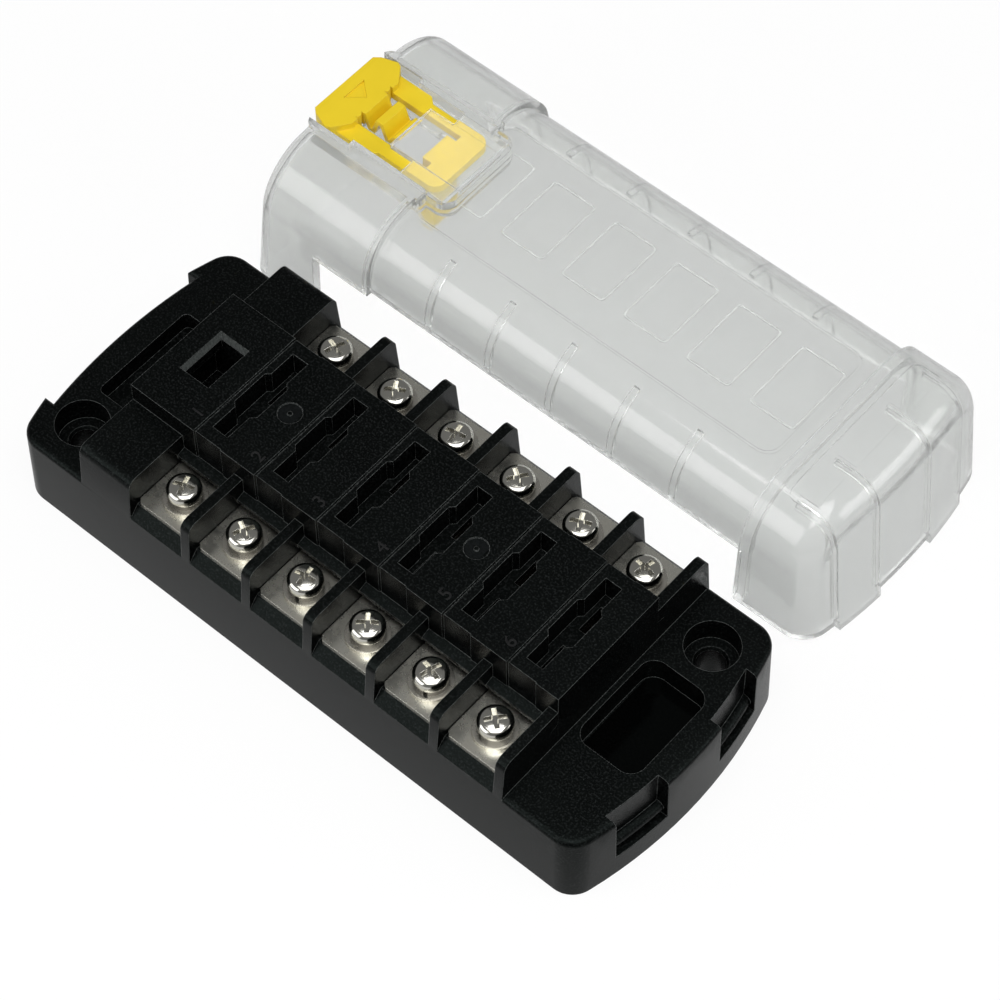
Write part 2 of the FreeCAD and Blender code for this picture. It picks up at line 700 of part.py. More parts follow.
def build_washer(name, row, number):
    """Plain flat washer."""
    disc = doc.addObject("Part::Cylinder", name + "_disc")
    disc.setExpression("Radius", link("flat_washer_radius"))
    disc.setExpression("Height", link("flat_washer_height"))
    bore = doc.addObject("Part::Cylinder", name + "_bore")
    bore.setExpression("Radius", link("washer_hole_radius"))
    bore.setExpression("Height", link("flat_washer_height"))
    washer = doc.addObject("Part::Cut", name)
    washer.Base = disc
    washer.Tool = bore
    washer.Label = name
    place_on_screw(washer, row, number, "bed_top + plate_thickness")
    return washer


def build_lock_washer(name, row, number, turn):
    """Split spring washer, a rectangular section turned almost full circle."""
    body = part_body(name)
    section = sketch(body, name + "_sketch", "XZ_Plane", loops=[box_loop(
        "washer_hole_radius", "lock_washer_radius", "0", "lock_washer_height")])
    ring = body.newObject("PartDesign::Revolution", name + "_ring")
    ring.Profile = section
    ring.ReferenceAxis = (section, ["V_Axis"])
    ring.setExpression("Angle", link("lock_washer_sweep"))
    section.Visibility = False
    body.Tip = ring
    place_on_screw(body, row, number, "bed_top + plate_thickness + flat_washer_height", turn)
    return body


def build_screw(name, row, number, turn):
    """Pan head machine screw with a cross recess, its height counted from under the head."""
    body = part_body(name)
    shank = "(bed_top + plate_thickness + flat_washer_height + lock_washer_height - screw_bottom)"
    profile = [
        ("0", f"-{shank}"),
        ("screw_radius - 0.5", f"-{shank}"),
        ("screw_radius", f"0.5 - {shank}"),
        ("screw_radius", "0"),
        ("head_radius", "0"),
        ("head_radius", "head_height - head_round", "head_round * 1.15"),
        ("head_radius - head_round", "head_height - 0.2 * head_round", "head_radius * 2.6"),
        ("head_flat_radius", "head_height"),
        ("0", "head_height"),
    ]
    outline = sketch(body, name + "_sketch", "XZ_Plane", loops=[profile])
    turned = body.newObject("PartDesign::Revolution", name + "_turned")
    turned.Profile = outline
    turned.ReferenceAxis = (outline, ["V_Axis"])
    turned.Angle = 360
    outline.Visibility = False
    body.Tip = turned
    arm = "recess_arm"
    half = "recess_width / 2"
    cross = [
        (f"-({half})", f"-{arm}"), (half, f"-{arm}"), (half, f"-({half})"),
        (arm, f"-({half})"), (arm, half), (half, half),
        (half, arm), (f"-({half})", arm), (f"-({half})", half),
        (f"-{arm}", half), (f"-{arm}", f"-({half})"), (f"-({half})", f"-({half})"),
    ]
    cross_sketch = sketch(body, name + "_cross_sketch", "XY_Plane", "head_height", [cross])
    feature(body, "Pocket", name + "_recess", cross_sketch, "recess_depth")
    level = "bed_top + plate_thickness + flat_washer_height + lock_washer_height"
    place_on_screw(body, row, number, level, turn)
    return body


def build_nut():
    """The captive square nuts of both rows, one solid for each screw."""
    body = doc.addObject("PartDesign::Body", "nut")
    square = box_loop("-nut_side / 2", "nut_side / 2", "-nut_side / 2", "nut_side / 2")
    nut_sketch = sketch(body, "nut_outline", "XY_Plane", "", [square], [("0", "0", "nut_hole_radius")])
    feature(body, "Pad", "nut_pad", nut_sketch, "nut_height")
    doc.recompute()
    spots = []
    for row in (-1, 1):
        for number in range(int(measure("circuit_count"))):
            spot = doc.addObject("Part::Feature", f"nut_{'front' if row < 0 else 'back'}_{number + 1}")
            spot.Shape = body.Shape
            place_on_screw(spot, row, number, "bed_top - nut_height")
            spots.append(spot)
    nuts = doc.addObject("Part::Compound", "terminal_nuts")
    nuts.Links = spots
    nuts.Label = "terminal_nuts"
    return nuts


parts = [base]
for row, side, screw_turns, washer_turns in (
        (-1, "front", FRONT_SCREW_TURNS, FRONT_WASHER_TURNS),
        (1, "back", BACK_SCREW_TURNS, BACK_WASHER_TURNS)):
    for number in range(int(measure("circuit_count"))):
        turn = number % len(screw_turns)
        parts.append(build_terminal(f"{side}_terminal_{number + 1}", row, number))
        parts.append(build_washer(f"{side}_flat_washer_{number + 1}", row, number))
        parts.append(build_lock_washer(
            f"{side}_lock_washer_{number + 1}", row, number, washer_turns[turn]))
        parts.append(build_screw(f"{side}_screw_{number + 1}", row, number, screw_turns[turn]))
parts.append(build_nut())


def build_end(name, inset, way):
    """One raised end of the cover: an arch drawn along X, cut off by a bowed end wall that leans in.

    way is "-" at the left end and "+" at the right, and inset draws the inner face."""
    body = doc.addObject("PartDesign::Body", name)
    back = "+" if way == "-" else "-"
    place = "left" if way == "-" else "right"
    end_x = f"(cover_{place}_x {back} {inset})"
    step = f"(cover_{place}_step_x {way} {inset})"
    level = f"(cover_end_top - {inset})"
    side = f"(cover_end_half - {inset})"
    top_half = f"({side} - cover_end_top * tan(cover_end_draft))"
    start = f"{end_x} - 3" if way == "-" else step
    arch = sketch(body, name + "_arch_sketch", "YZ_Plane", start, [[
        (f"-{side}", "0"), (side, "0"), (top_half, level), (f"-{top_half}", level)]])
    feature(body, "Pad", name + "_arch", arch, f"abs({end_x} - {step}) + 3")
    dress(body, "Fillet", name + "_shoulder", f"cover_end_round - {inset}", lambda e: (
        runs_along(e, ALONG_X) and lies_at(e.CenterOfMass.z, level)))
    cut_level = "(cover_end_top + 1)"
    bow = f"(cover_{place}_bow - {inset} - {cut_level} * tan(cover_end_lean))"
    bow_centre = f"(cover_{place}_x {back} cover_{place}_bow)"
    reach = "(cover_end_half + 10)"
    bow_x = f"{bow_centre} {way} sqrt({bow} ^ 2 - {reach} ^ 2)"
    far_x = f"{end_x} {way} 12"
    outline = [(bow_x, f"-{reach}", bow), (bow_x, reach), (far_x, reach), (far_x, f"-{reach}")]
    if way == "-":
        outline = [(bow_x, reach, bow), (bow_x, f"-{reach}"), (far_x, f"-{reach}"), (far_x, reach)]
    end_sketch = sketch(body, name + "_end_sketch", "XY_Plane", cut_level, [outline])
    feature(body, "Pocket", name + "_end_wall", end_sketch, f"{cut_level} + 2", "-cover_end_lean")
    dress(body, "Fillet", name + "_end_edge", f"cover_{place}_edge - {inset}", lambda e: (
        abs(e.BoundBox.Center.x - measure(end_x)) < 9 and e.BoundBox.XLength < 8 and e.BoundBox.ZMax > 1))
    return body


def build_middle(name, inset):
    """The cover's long middle, an arched section drawn along X."""
    body = doc.addObject("PartDesign::Body", name)
    low = "cover_side_edge"
    profile = [
        (f"{inset} - cover_middle_half", low),
        (f"cover_middle_half - {inset}", low),
        (f"cover_middle_top_half - {inset}", f"cover_middle_top - {inset}"),
        (f"{inset} - cover_middle_top_half", f"cover_middle_top - {inset}"),
    ]
    start = f"cover_left_step_x - 2 * {inset}"
    flat = sketch(body, name + "_sketch", "YZ_Plane", start, [profile])
    feature(body, "Pad", name + "_pad", flat, f"cover_right_step_x - cover_left_step_x + 4 * {inset}")
    dress(body, "Fillet", name + "_shoulder", f"cover_middle_round - {inset}", lambda e: (
        runs_along(e, ALONG_X) and lies_at(e.CenterOfMass.z, f"cover_middle_top - {inset}")))
    return body


def join(name, kind, shapes):
    """Boolean of whole bodies: MultiFuse, MultiCommon, or a Cut of the second from the first."""
    result = doc.addObject("Part::" + kind, name)
    if kind == "Cut":
        result.Base, result.Tool = shapes
    else:
        result.Shapes = shapes
    return result


def block(name, left, right, near, far, low, high):
    """Block between six sizes."""
    body = doc.addObject("Part::Box", name)
    body.setExpression("Length", link(f"({right}) - ({left})"))
    body.setExpression("Width", link(f"({far}) - ({near})"))
    body.setExpression("Height", link(f"({high}) - ({low})"))
    body.setExpression("Placement.Base.x", link(left))
    body.setExpression("Placement.Base.y", link(near))
    body.setExpression("Placement.Base.z", link(low))
    return body


# Cover, drawn about its own centre line and moved beside the base at the end
no_inset = "0"
wall = "cover_wall"
outer_left = build_end("outer_left", no_inset, "-")
outer_right = build_end("outer_right", no_inset, "+")
outer_middle = build_middle("outer_middle", no_inset)
inner_left = build_end("inner_left", wall, "-")
inner_right = build_end("inner_right", wall, "+")
inner_middle = build_middle("inner_middle", wall)

# Latch seat: raised platform over the left shoulder and a bead round the latch's right end
seat_low = "(seat_floor - seat_floor_thickness)"


def build_seat(name, inset, top):
    """Box with rounded corners over the left shoulder, from its foot up to a level."""
    body = doc.addObject("PartDesign::Body", name)
    left = f"seat_left_x + {inset}"
    side = f"(seat_half - {inset})"
    corner = f"(seat_round - {inset} / 2)"
    seat_sketch = sketch(body, name + "_sketch", "XY_Plane", "seat_foot", [[
        (f"{left} + {corner}", f"-{side}"), (f"seat_step_x", f"-{side}"),
        (f"seat_step_x", side), (f"{left} + {corner}", side, corner),
        (left, f"{side} - {corner}"), (left, f"{corner} - {side}", corner),
    ]])
    feature(body, "Pad", name + "_pad", seat_sketch, f"{top} - seat_foot")
    return body


seat = build_seat("seat", no_inset, "cover_end_top")
seat_hollow = build_seat("seat_hollow", wall, seat_low)
bead = doc.addObject("PartDesign::Body", "bead")
bead_sketch = sketch(bead, "bead_sketch", "XY_Plane", seat_low, [[
    ("seat_step_x - 4", "-bead_half"),
    ("bead_right_x - bead_radius", "-bead_half", "bead_radius"),
    ("bead_right_x", "bead_radius - bead_half"),
    ("bead_right_x", "bead_half - bead_radius", "bead_radius"),
    ("bead_right_x - bead_radius", "bead_half"),
    ("seat_step_x - 4", "bead_half"),
]])
feature(bead, "Pad", "bead_pad", bead_sketch, f"cover_end_top - ({seat_low})")
tongue = block("tongue", "tongue_left_x", "bead_right_x - 0.5", "-tongue_half", "tongue_half",
               "tongue_low", "tongue_low + tongue_thickness")
tongue_root = block("tongue_root", "crossbar_right_x + latch_travel + latch_clearance",
                    "bead_right_x - 0.5", "-tongue_half", "tongue_half", seat_low, "tongue_low + 0.1")

# Openings of the cover: inner space, side edges, foot, latch recess and leg slot
inner_space = join("inner_space", "MultiFuse", [inner_left, inner_middle, inner_right])
outer_form = join("outer_form", "MultiFuse", [outer_left, outer_middle, outer_right])
thin_shell = join("thin_shell", "Cut", [outer_form, inner_space])
low_half = block("low_half", "cover_left_x", "cover_right_x", "-cover_end_half", "cover_end_half",
                 "-1", seat_low)
low_space = join("low_space", "MultiCommon", [inner_space, low_half])
seat_front = join("seat_front", "Cut", [seat, low_space])
with_seat = join("with_seat", "MultiFuse", [thin_shell, seat_front, bead])
side_opening = block("side_opening", "cover_skirt_x", "cover_right_step_x",
                     "-cover_end_half - 1", "cover_end_half + 1", "-1", "cover_side_edge")
right_foot = block("right_foot", "cover_right_step_x - 1", "cover_right_x - cover_tab_depth",
                   "-cover_end_half - 1", "cover_end_half + 1", "-1", "cover_skirt_foot")
step_opening = block("step_opening", "cover_right_step_x - 1", "cover_right_step_x + cover_wall + 1",
                     "cover_wall - cover_middle_half", "cover_middle_half - cover_wall", "-1",
                     "cover_side_edge + 1")
foot_middle = block("foot_middle", "cover_right_x - cover_tab_depth - 1", "cover_right_x + 1",
                    "-cover_tab_inner_y", "cover_tab_inner_y", "-1", "cover_skirt_foot")
foot_front = block("foot_front", "cover_right_x - cover_tab_depth - 1", "cover_right_x + 1",
                   "-cover_end_half - 1", "-cover_tab_outer_y", "-1", "cover_skirt_foot")
foot_back = block("foot_back", "cover_right_x - cover_tab_depth - 1", "cover_right_x + 1",
                  "cover_tab_outer_y", "cover_end_half + 1", "-1", "cover_skirt_foot")
recess_gap = "latch_clearance"
frame_recess = block("frame_recess", "grip_right_x - 1", "recess_right_x",
                     f"-frame_half - {recess_gap}", f"frame_half + {recess_gap}",
                     "seat_floor", "cover_end_top + 1")
frame_tunnel = block("frame_tunnel", "recess_right_x - 1",
                     "crossbar_right_x + latch_travel + latch_clearance",
                     f"-frame_half - {recess_gap}", f"frame_half + {recess_gap}",
                     "seat_floor", "tongue_low")
grip_recess = block("grip_recess", "cover_left_x - 2", "grip_right_x + latch_travel + latch_clearance",
                    f"-grip_half - {recess_gap}", f"grip_half + {recess_gap}",
                    "seat_floor", "cover_end_top + 1")
leg_slot = block("leg_slot", "leg_slot_left_x", "leg_slot_right_x", "-leg_slot_half",
                 "leg_slot_half", "seat_floor - seat_floor_thickness - 1", "seat_floor + 1")
spring_slot = block("spring_slot", "grip_right_x - 0.6", "leg_slot_left_x + 1", "-spring_slot_half",
                    "spring_slot_half", "seat_floor - seat_floor_thickness - 1", "seat_floor + 1")
cover_cuts = join("cover_cuts", "MultiFuse", [
    side_opening, step_opening, right_foot, foot_middle, foot_front, foot_back,
    frame_recess, frame_tunnel, grip_recess, leg_slot, spring_slot, seat_hollow])
open_shell = join("open_shell", "Cut", [with_seat, cover_cuts])

# Ribs on the inside of the side walls and the right end
rib_slabs = []
for number in range(int(measure("rib_count"))):
    rib_x = f"rib_first_x + {number} * circuit_pitch"
    for side, near, far in (("front", "-cover_end_half", "-rib_inner_y"),
                            ("back", "rib_inner_y", "cover_end_half")):
        rib_slabs.append(block(f"rib_slab_{side}_{number + 1}", f"{rib_x} - rib_width / 2",
                               f"{rib_x} + rib_width / 2", near, far, "0", "cover_end_top"))
rib_row = join("rib_row", "MultiFuse", rib_slabs)
rib_core = build_middle("rib_core", "(cover_wall + rib_height)")
ribs_filled = join("ribs_filled", "MultiCommon", [rib_row, outer_middle])
ribs = join("ribs", "Cut", [ribs_filled, rib_core])
end_slabs = []
for number, rib_y in enumerate(("cover_tab_inner_y", "-cover_tab_inner_y", "cover_tab_outer_y",
                                "-cover_tab_outer_y")):
    end_slabs.append(block(f"end_slab_{number + 1}", "cover_right_step_x + 6", "cover_right_x",
                           f"{rib_y} - end_rib_width / 2", f"{rib_y} + end_rib_width / 2",
                           "cover_skirt_foot", "cover_end_top"))
end_row = join("end_row", "MultiFuse", end_slabs)
end_core = build_end("end_core", "(cover_wall + end_rib_height)", "+")
end_filled = join("end_filled", "MultiCommon", [end_row, outer_right])
end_ribs = join("end_ribs", "Cut", [end_filled, end_core])

# Lines moulded in the top panel
border = doc.addObject("PartDesign::Body", "border")
line_floor = "cover_middle_top - border_depth"


def rounded_loop(left, right, low, high, radius):
    return [
        (f"{left} + {radius}", low), (f"{right} - {radius}", low, radius),
        (right, f"{low} + {radius}"), (right, f"{high} - {radius}", radius),
        (f"{right} - {radius}", high), (f"{left} + {radius}", high, radius),
        (left, f"{high} - {radius}"), (left, f"{low} + {radius}", radius),
    ]


border_sketch = sketch(border, "border_sketch", "XY_Plane", line_floor, [
    rounded_loop("border_left_x", "border_right_x", "-border_half", "border_half", "label_radius * 3"),
    rounded_loop("border_left_x + border_line", "border_right_x - border_line",
                 "border_line - border_half", "border_half - border_line", "label_radius * 3"),
])
feature(border, "Pad", "border_pad", border_sketch, "border_depth + 1")
labels = doc.addObject("PartDesign::Body", "labels")
label_right = "label_first_x + label_length"
label_sketch = sketch(labels, "label_sketch", "XY_Plane", "cover_middle_top - label_line_depth", [
    rounded_loop("label_first_x", label_right, "label_front_y", "label_back_y", "label_radius"),
    rounded_loop("label_first_x + label_line", f"{label_right} - label_line",
                 "label_front_y + label_line", "label_back_y - label_line", "label_radius"),
])
label_pad = feature(labels, "Pad", "label_pad", label_sketch, "label_line_depth + 1")
row_of(labels, "label_row", [label_pad], "label_count", "circuit_pitch")
band = doc.addObject("PartDesign::Body", "band")
band_sketch = sketch(band, "band_sketch", "XY_Plane", "cover_end_top / 2", [
    rounded_loop("band_left_x", "band_right_x", "-band_half", "band_half", "band_radius")])
feature(band, "Pad", "band_pad", band_sketch, "cover_end_top")
band_filled = join("band_filled", "MultiCommon", [band, outer_right])
band_skin = join("band_skin", "Cut", [band_filled, build_end("band_core", "band_depth", "+")])
panel_lines = join("panel_lines", "MultiFuse", [border, labels, band_skin])
lined_shell = join("lined_shell", "Cut", [open_shell, panel_lines])
cover = join("cover", "MultiFuse", [lined_shell, ribs, end_ribs, tongue, tongue_root])
cover.Label = "cover"
cover.setExpression("Placement.Base.y", link("cover_y"))
parts.append(cover)

# Latch: grip, frame, waved spring and hook leg in one moulding
latch = part_body("latch")
frame_low = "seat_floor + 0.05"
near_side = [
    ("grip_left_x", "-grip_front_half + 1"),
    ("grip_left_x + 1.2", "-grip_front_half"),
    ("grip_right_x - grip_slant - 1", "-grip_half"),
]
frame_side = near_side + [
    ("grip_right_x - grip_slant", "-frame_half"),
    ("rail_step_x", "-frame_half"),
    ("rail_step_x + rail_step_length", "-rail_half"),
    ("crossbar_right_x - frame_radius", "-rail_half", "frame_radius"),
    ("crossbar_right_x", "frame_radius - rail_half"),
]
frame_outline = frame_side + [
    ("crossbar_right_x", "rail_half - frame_radius", "frame_radius"),
    ("crossbar_right_x - frame_radius", "rail_half"),
] + [(x, f"-({y})") for x, y, *_ in reversed(frame_side[:6])]
frame_window = box_loop("grip_right_x", "crossbar_left_x", "-frame_inner_half", "frame_inner_half")
frame_sketch = sketch(latch, "latch_frame_sketch", "XY_Plane", frame_low, [frame_outline, frame_window])
feature(latch, "Pad", "latch_frame", frame_sketch, "latch_thickness")
grip_side = near_side + [
    ("grip_right_x - grip_slant", "0.4 - grip_half"),
    ("grip_right_x", "-grip_tip_half"),
]
grip_outline = grip_side + [(x, f"-({y})") for x, y in reversed(grip_side)]
grip_sketch = sketch(latch, "grip_sketch", "XY_Plane", frame_low, [grip_outline])
feature(latch, "Pad", "grip", grip_sketch, "grip_thickness")
grip_top = f"({frame_low} + grip_thickness)"
notch_loops = []
for way in ("", "-"):
    low_y = f"{way}(grip_notch_y) - grip_notch_half"
    high_y = f"{way}(grip_notch_y) + grip_notch_half"
    notch_x = "grip_right_x - grip_notch_length + grip_notch_half"
    notch_loops.append([("grip_right_x + 0.5", low_y), ("grip_right_x + 0.5", high_y),
                        (notch_x, high_y, "-grip_notch_half"), (notch_x, low_y)])
grip_notches = sketch(latch, "grip_notch_sketch", "XY_Plane", f"{grip_top} + 1", notch_loops)
feature(latch, "Pocket", "grip_notches", grip_notches, "grip_thickness + 2")
arrow_x = "(grip_left_x + 2.4)"
arrow_sketch = sketch(latch, "arrow_sketch", "XY_Plane", grip_top, [[
    (arrow_x, "-arrow_half"), (f"{arrow_x} + arrow_length", "0"), (arrow_x, "arrow_half")]])
feature(latch, "Pocket", "arrow", arrow_sketch, "arrow_depth")
wave_length = "((spring_right_x - grip_right_x) / 2)"
high = f"({grip_top} - spring_leaf)"
upper = []
lower = []
for number, level in enumerate((high, "spring_low", high, "spring_low", "(tongue_low - 0.35 - spring_leaf)")):
    middle_x = f"grip_right_x - 0.5 + {number} * {wave_length} / 2"
    outer_half, inner_half = "(spring_leaf + 0.05)", "0.15"
    over, under = (outer_half, inner_half) if number % 2 == 0 else (inner_half, outer_half)
    for way in ("-", "+"):
        upper.append((f"{middle_x} {way} {over}", f"{level} + spring_leaf"))
        lower.append((f"{middle_x} {way} {under}", level))
lower.reverse()
spring_sketch = sketch(latch, "spring_sketch", "XZ_Plane", "-spring_half", [upper + lower])
spring_pad = feature(latch, "Pad", "spring", spring_sketch, "2 * spring_half")
leg_x = "(crossbar_left_x - leg_thickness)"
leg_profile = [
    (leg_x, "leg_bottom + leg_nose_height"),
    (f"{leg_x} - leg_nose", "leg_bottom + leg_nose_height"),
    (leg_x, "leg_bottom"),
    (f"{leg_x} + leg_thickness", "leg_bottom"),
    (f"{leg_x} + leg_thickness", frame_low),
    (f"{leg_x} + leg_thickness + 1", frame_low),
    (f"{leg_x} + leg_thickness + 1", f"{frame_low} + latch_thickness"),
    (leg_x, f"{frame_low} + latch_thickness"),
]
leg_sketch = sketch(latch, "leg_sketch", "XZ_Plane", "-leg_half", [leg_profile])
feature(latch, "Pad", "hook_leg", leg_sketch, "2 * leg_half")
latch.setExpression("Placement.Base.y", link("cover_y"))
parts.append(latch)

doc.recompute()
for item in doc.Objects:
    if "Invalid" in item.State or "Error" in item.State:
        raise RuntimeError(f"{item.Name} is not built: {item.State}")
os.makedirs("parts", exist_ok=True)
for item in parts:
    if item.Shape.isNull() or not item.Shape.isValid():
        raise RuntimeError(f"{item.Label} has no valid shape")
    item.Shape.exportStep(f"parts/{item.Label}.step")
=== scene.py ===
"""Looks, stage and camera for the blade fuse block with its clear cover and latch beside it."""

import json
import math

import bmesh
import bpy
from bpy.props import FloatProperty, FloatVectorProperty, PointerProperty
from mathutils import Matrix, Vector

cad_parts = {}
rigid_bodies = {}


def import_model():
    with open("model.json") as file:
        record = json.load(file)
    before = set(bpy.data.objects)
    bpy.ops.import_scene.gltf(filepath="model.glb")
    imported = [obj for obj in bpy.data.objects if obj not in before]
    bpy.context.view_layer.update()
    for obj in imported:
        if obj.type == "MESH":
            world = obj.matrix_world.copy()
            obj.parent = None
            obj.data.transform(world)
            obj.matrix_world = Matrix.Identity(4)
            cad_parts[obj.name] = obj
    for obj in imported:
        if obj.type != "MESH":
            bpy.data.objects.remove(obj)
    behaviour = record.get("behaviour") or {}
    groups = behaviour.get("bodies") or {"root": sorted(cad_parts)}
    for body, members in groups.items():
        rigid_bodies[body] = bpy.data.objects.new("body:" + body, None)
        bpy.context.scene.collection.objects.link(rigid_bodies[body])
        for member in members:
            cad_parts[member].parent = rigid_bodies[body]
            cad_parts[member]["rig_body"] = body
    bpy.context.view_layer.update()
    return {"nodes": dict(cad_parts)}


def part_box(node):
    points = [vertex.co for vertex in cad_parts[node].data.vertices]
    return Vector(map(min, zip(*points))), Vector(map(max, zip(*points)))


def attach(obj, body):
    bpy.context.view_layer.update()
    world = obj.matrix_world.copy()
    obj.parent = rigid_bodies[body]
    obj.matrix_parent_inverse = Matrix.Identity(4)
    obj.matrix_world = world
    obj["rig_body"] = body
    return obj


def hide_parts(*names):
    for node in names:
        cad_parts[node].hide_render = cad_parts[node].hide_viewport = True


bl_info = {
    "name": "Fuse block looks",
    "version": (1, 0, 0),
    "blender": (4, 5, 0),
    "location": "3D View > Sidebar > Fuse Block",
    "description": "Finishes, raised numbers, studio and camera for a blade fuse block",
    "category": "Object",
}

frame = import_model()
COVER_LOW, COVER_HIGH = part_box("cover")
MM = 0.001


def in_mm(*lengths):
    """Lengths given in millimetres, in metres."""
    return tuple(length * MM for length in lengths)


# Places on the base
CIRCUITS = 6
PITCH = 14.3 * MM
TOWER_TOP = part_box("base_housing")[1][2]
FIRST_NUMBER_X, NUMBERS_Y = in_mm(-35.5, -9.7)

# Label fields on the cover's top panel, their front and back measured from its middle line
COVER_TOP = 29.5 * MM
COVER_MIDDLE_Y = (COVER_LOW[1] + COVER_HIGH[1]) / 2
FIRST_LABEL_LEFT, FIRST_LABEL_RIGHT = in_mm(-36.6, -26.7)
LABEL_FRONT, LABEL_BACK = in_mm(-6.8, 8.9)
LABEL_RADIUS = 1 * MM
LABEL_CUT_X = -31.95 * MM

# Air under the label outlines, so that no faces coincide
OUTLINE_LIFT = 0.01 * MM

# Height of a digit as a share of its font's size
DIGIT_SHARE = 0.7

# A CAD node's vertices are merged within the first distance. The second is for its edges of no
# length and for the numerals' vertices.
MERGE_DISTANCE = 0.002 * MM
FINE_DISTANCE = 0.001 * MM

# Parts of the base coloured apart from the rest, each as the two corners of a box. The latch hole's
# rim is a painted highlight.
# Painted highlight: the latch hole's chamfered rim is coloured lighter for the light that it
# catches
LATCH_HOLE_RIM = (in_mm(-44.7, -4.75, 29.9), in_mm(-37.85, 5.7, 30.77))
LEFT_GATE_MARK = (in_mm(-26.3, -1.75, 30.3), in_mm(-21.7, 2.85, 30.77))
RIGHT_GATE_MARK = (in_mm(16.6, -1.75, 30.3), in_mm(21.2, 2.85, 30.77))
RIGHT_POCKET_FLOOR = (in_mm(50.8, -10.5, 11.2), in_mm(63.2, 10.5, 11.9))
GATE_MARK_COLOUR = (0.006, 0.0065, 0.007)
OWN_TONES_AND_PAINTED_HIGHLIGHT = (
    # Painted highlight on the latch hole's rim
    (LATCH_HOLE_RIM, (0.045, 0.047, 0.046)),
    (LEFT_GATE_MARK, GATE_MARK_COLOUR),
    (RIGHT_GATE_MARK, GATE_MARK_COLOUR),
    (RIGHT_POCKET_FLOOR, (0.0005, 0.0005, 0.0005)),
)
LEAST_TINT = 0.4
SHINY_PARTS = (RIGHT_POCKET_FLOOR,)
SHINY_ROUGHNESS = 0.1

# Fineness of the surface patterns, in waves per metre
GRAIN_SCALE = 2600
DRIFT_SCALE = 90
CLOUD_SCALE = 350
SCRATCH_SCALES = (400, 9000, 9000)
WAVES_SCALE = 60

# Values of a pattern: its middle, and the pairs that most of it, its specks and its clouds span
MIDDLE_VALUE = 0.5
MOST_VALUES = (0.3, 0.7)
SPECK_VALUES = (0.5, 0.75)
TARNISH_VALUES = (0.4, 0.7)

# Painted highlight along edges: its width, the cosines of a face's turn where it is bright and
# where bare, and the grain's values between the least share of the highlight's colour and all of it
EDGE_HIGHLIGHT_WIDTH = 0.18 * MM
EDGE_HIGHLIGHT_TURN = (0.8, 0.985)
EDGE_HIGHLIGHT_GRAIN = (0.35, 0.6)
LEAST_EDGE_HIGHLIGHT = 0.25

# Upward share of a face's normal between a wall and a top
WALL_TO_TOP = (0.5, 0.9)

# Painted shade: plates are dark under the tower, nearer to the middle line than this
SHADED_HALF_WIDTH = 12.5 * MM
SHADED_PLATE = (0.13, 0.125, 0.11)

# Light that the clear plastic lets through to what it shades
CLEAR_SHADOW = (0.5, 0.51, 0.5)

# The floor glows white by these shares, added up. A ray through the satin clear plastic counts
# as glossy too, so it sees 0.5 - 0.1 of the glow.
FLOOR_GLOW = (("Is Camera Ray", 0.9), ("Is Transmission Ray", -0.1), ("Is Glossy Ray", 0.5))
FLOOR_COLOUR = (0.5, 0.5, 0.5)
FLOOR_COLOUR_THROUGH_COVER = (0.23, 0.24, 0.235)
FLOOR_HALF_SIDE = 4
WHITE = (1, 1, 1)


# Shader node helpers

def feed(tree, socket, value):
    """Link an input to another node's socket, or set it to a number or a colour."""
    if isinstance(value, bpy.types.NodeSocket):
        tree.links.new(value, socket)
    elif isinstance(value, (int, float)):
        socket.default_value = value
    else:
        socket.default_value = (*value, 1)


def noise(tree, vector, scale, detail, roughness):
    """Noise texture read at a vector socket."""
    texture = tree.nodes.new("ShaderNodeTexNoise")
    texture.inputs["Scale"].default_value = scale
    texture.inputs["Detail"].default_value = detail
    texture.inputs["Roughness"].default_value = roughness
    tree.links.new(vector, texture.inputs["Vector"])
    return texture.outputs["Fac"]


def remap(tree, value, source, target):
    """Map Range node, clamped, from one pair of ends to another."""
    node = tree.nodes.new("ShaderNodeMapRange")
    names = ("Value", "From Min", "From Max", "To Min", "To Max")
    for name, amount in zip(names, (value, *source, *target)):
        feed(tree, node.inputs[name], amount)
    return node.outputs["Result"]


def calculate(tree, operation, *values):
    """Math node on numbers and sockets."""
    node = tree.nodes.new("ShaderNodeMath")
    node.operation = operation
    for socket, value in zip(node.inputs, values):
        feed(tree, socket, value)
    return node.outputs["Value"]


def blend(tree, factor, first, second):
    """Mix node from one colour to another."""
    node = tree.nodes.new("ShaderNodeMix")
    node.data_type = "RGBA"
    # A Mix node has inputs for every data type: 0 is the factor, and 6 and 7 are the colours.
    for socket, value in zip((node.inputs[0], node.inputs[6], node.inputs[7]),
                             (factor, first, second)):
        feed(tree, socket, value)
    return node.outputs[2]


def blend_shaders(tree, factor, first, second):
    """Mix Shader node."""
    node = tree.nodes.new("ShaderNodeMixShader")
    for socket, value in zip(node.inputs, (factor, first, second)):
        tree.links.new(value, socket)
    return node.outputs["Shader"]


def box_mask(tree, vector, corners):
    """1 inside a box of object space and 0 outside it."""
    split = tree.nodes.new("ShaderNodeSeparateXYZ")
    tree.links.new(vector, split.inputs["Vector"])
    mask = 1
    for axis, least, most in zip("XYZ", *corners):
        inside = calculate(tree, "COMPARE", split.outputs[axis],
                           (least + most) / 2, (most - least) / 2)
        mask = calculate(tree, "MULTIPLY", mask, inside)
    return mask


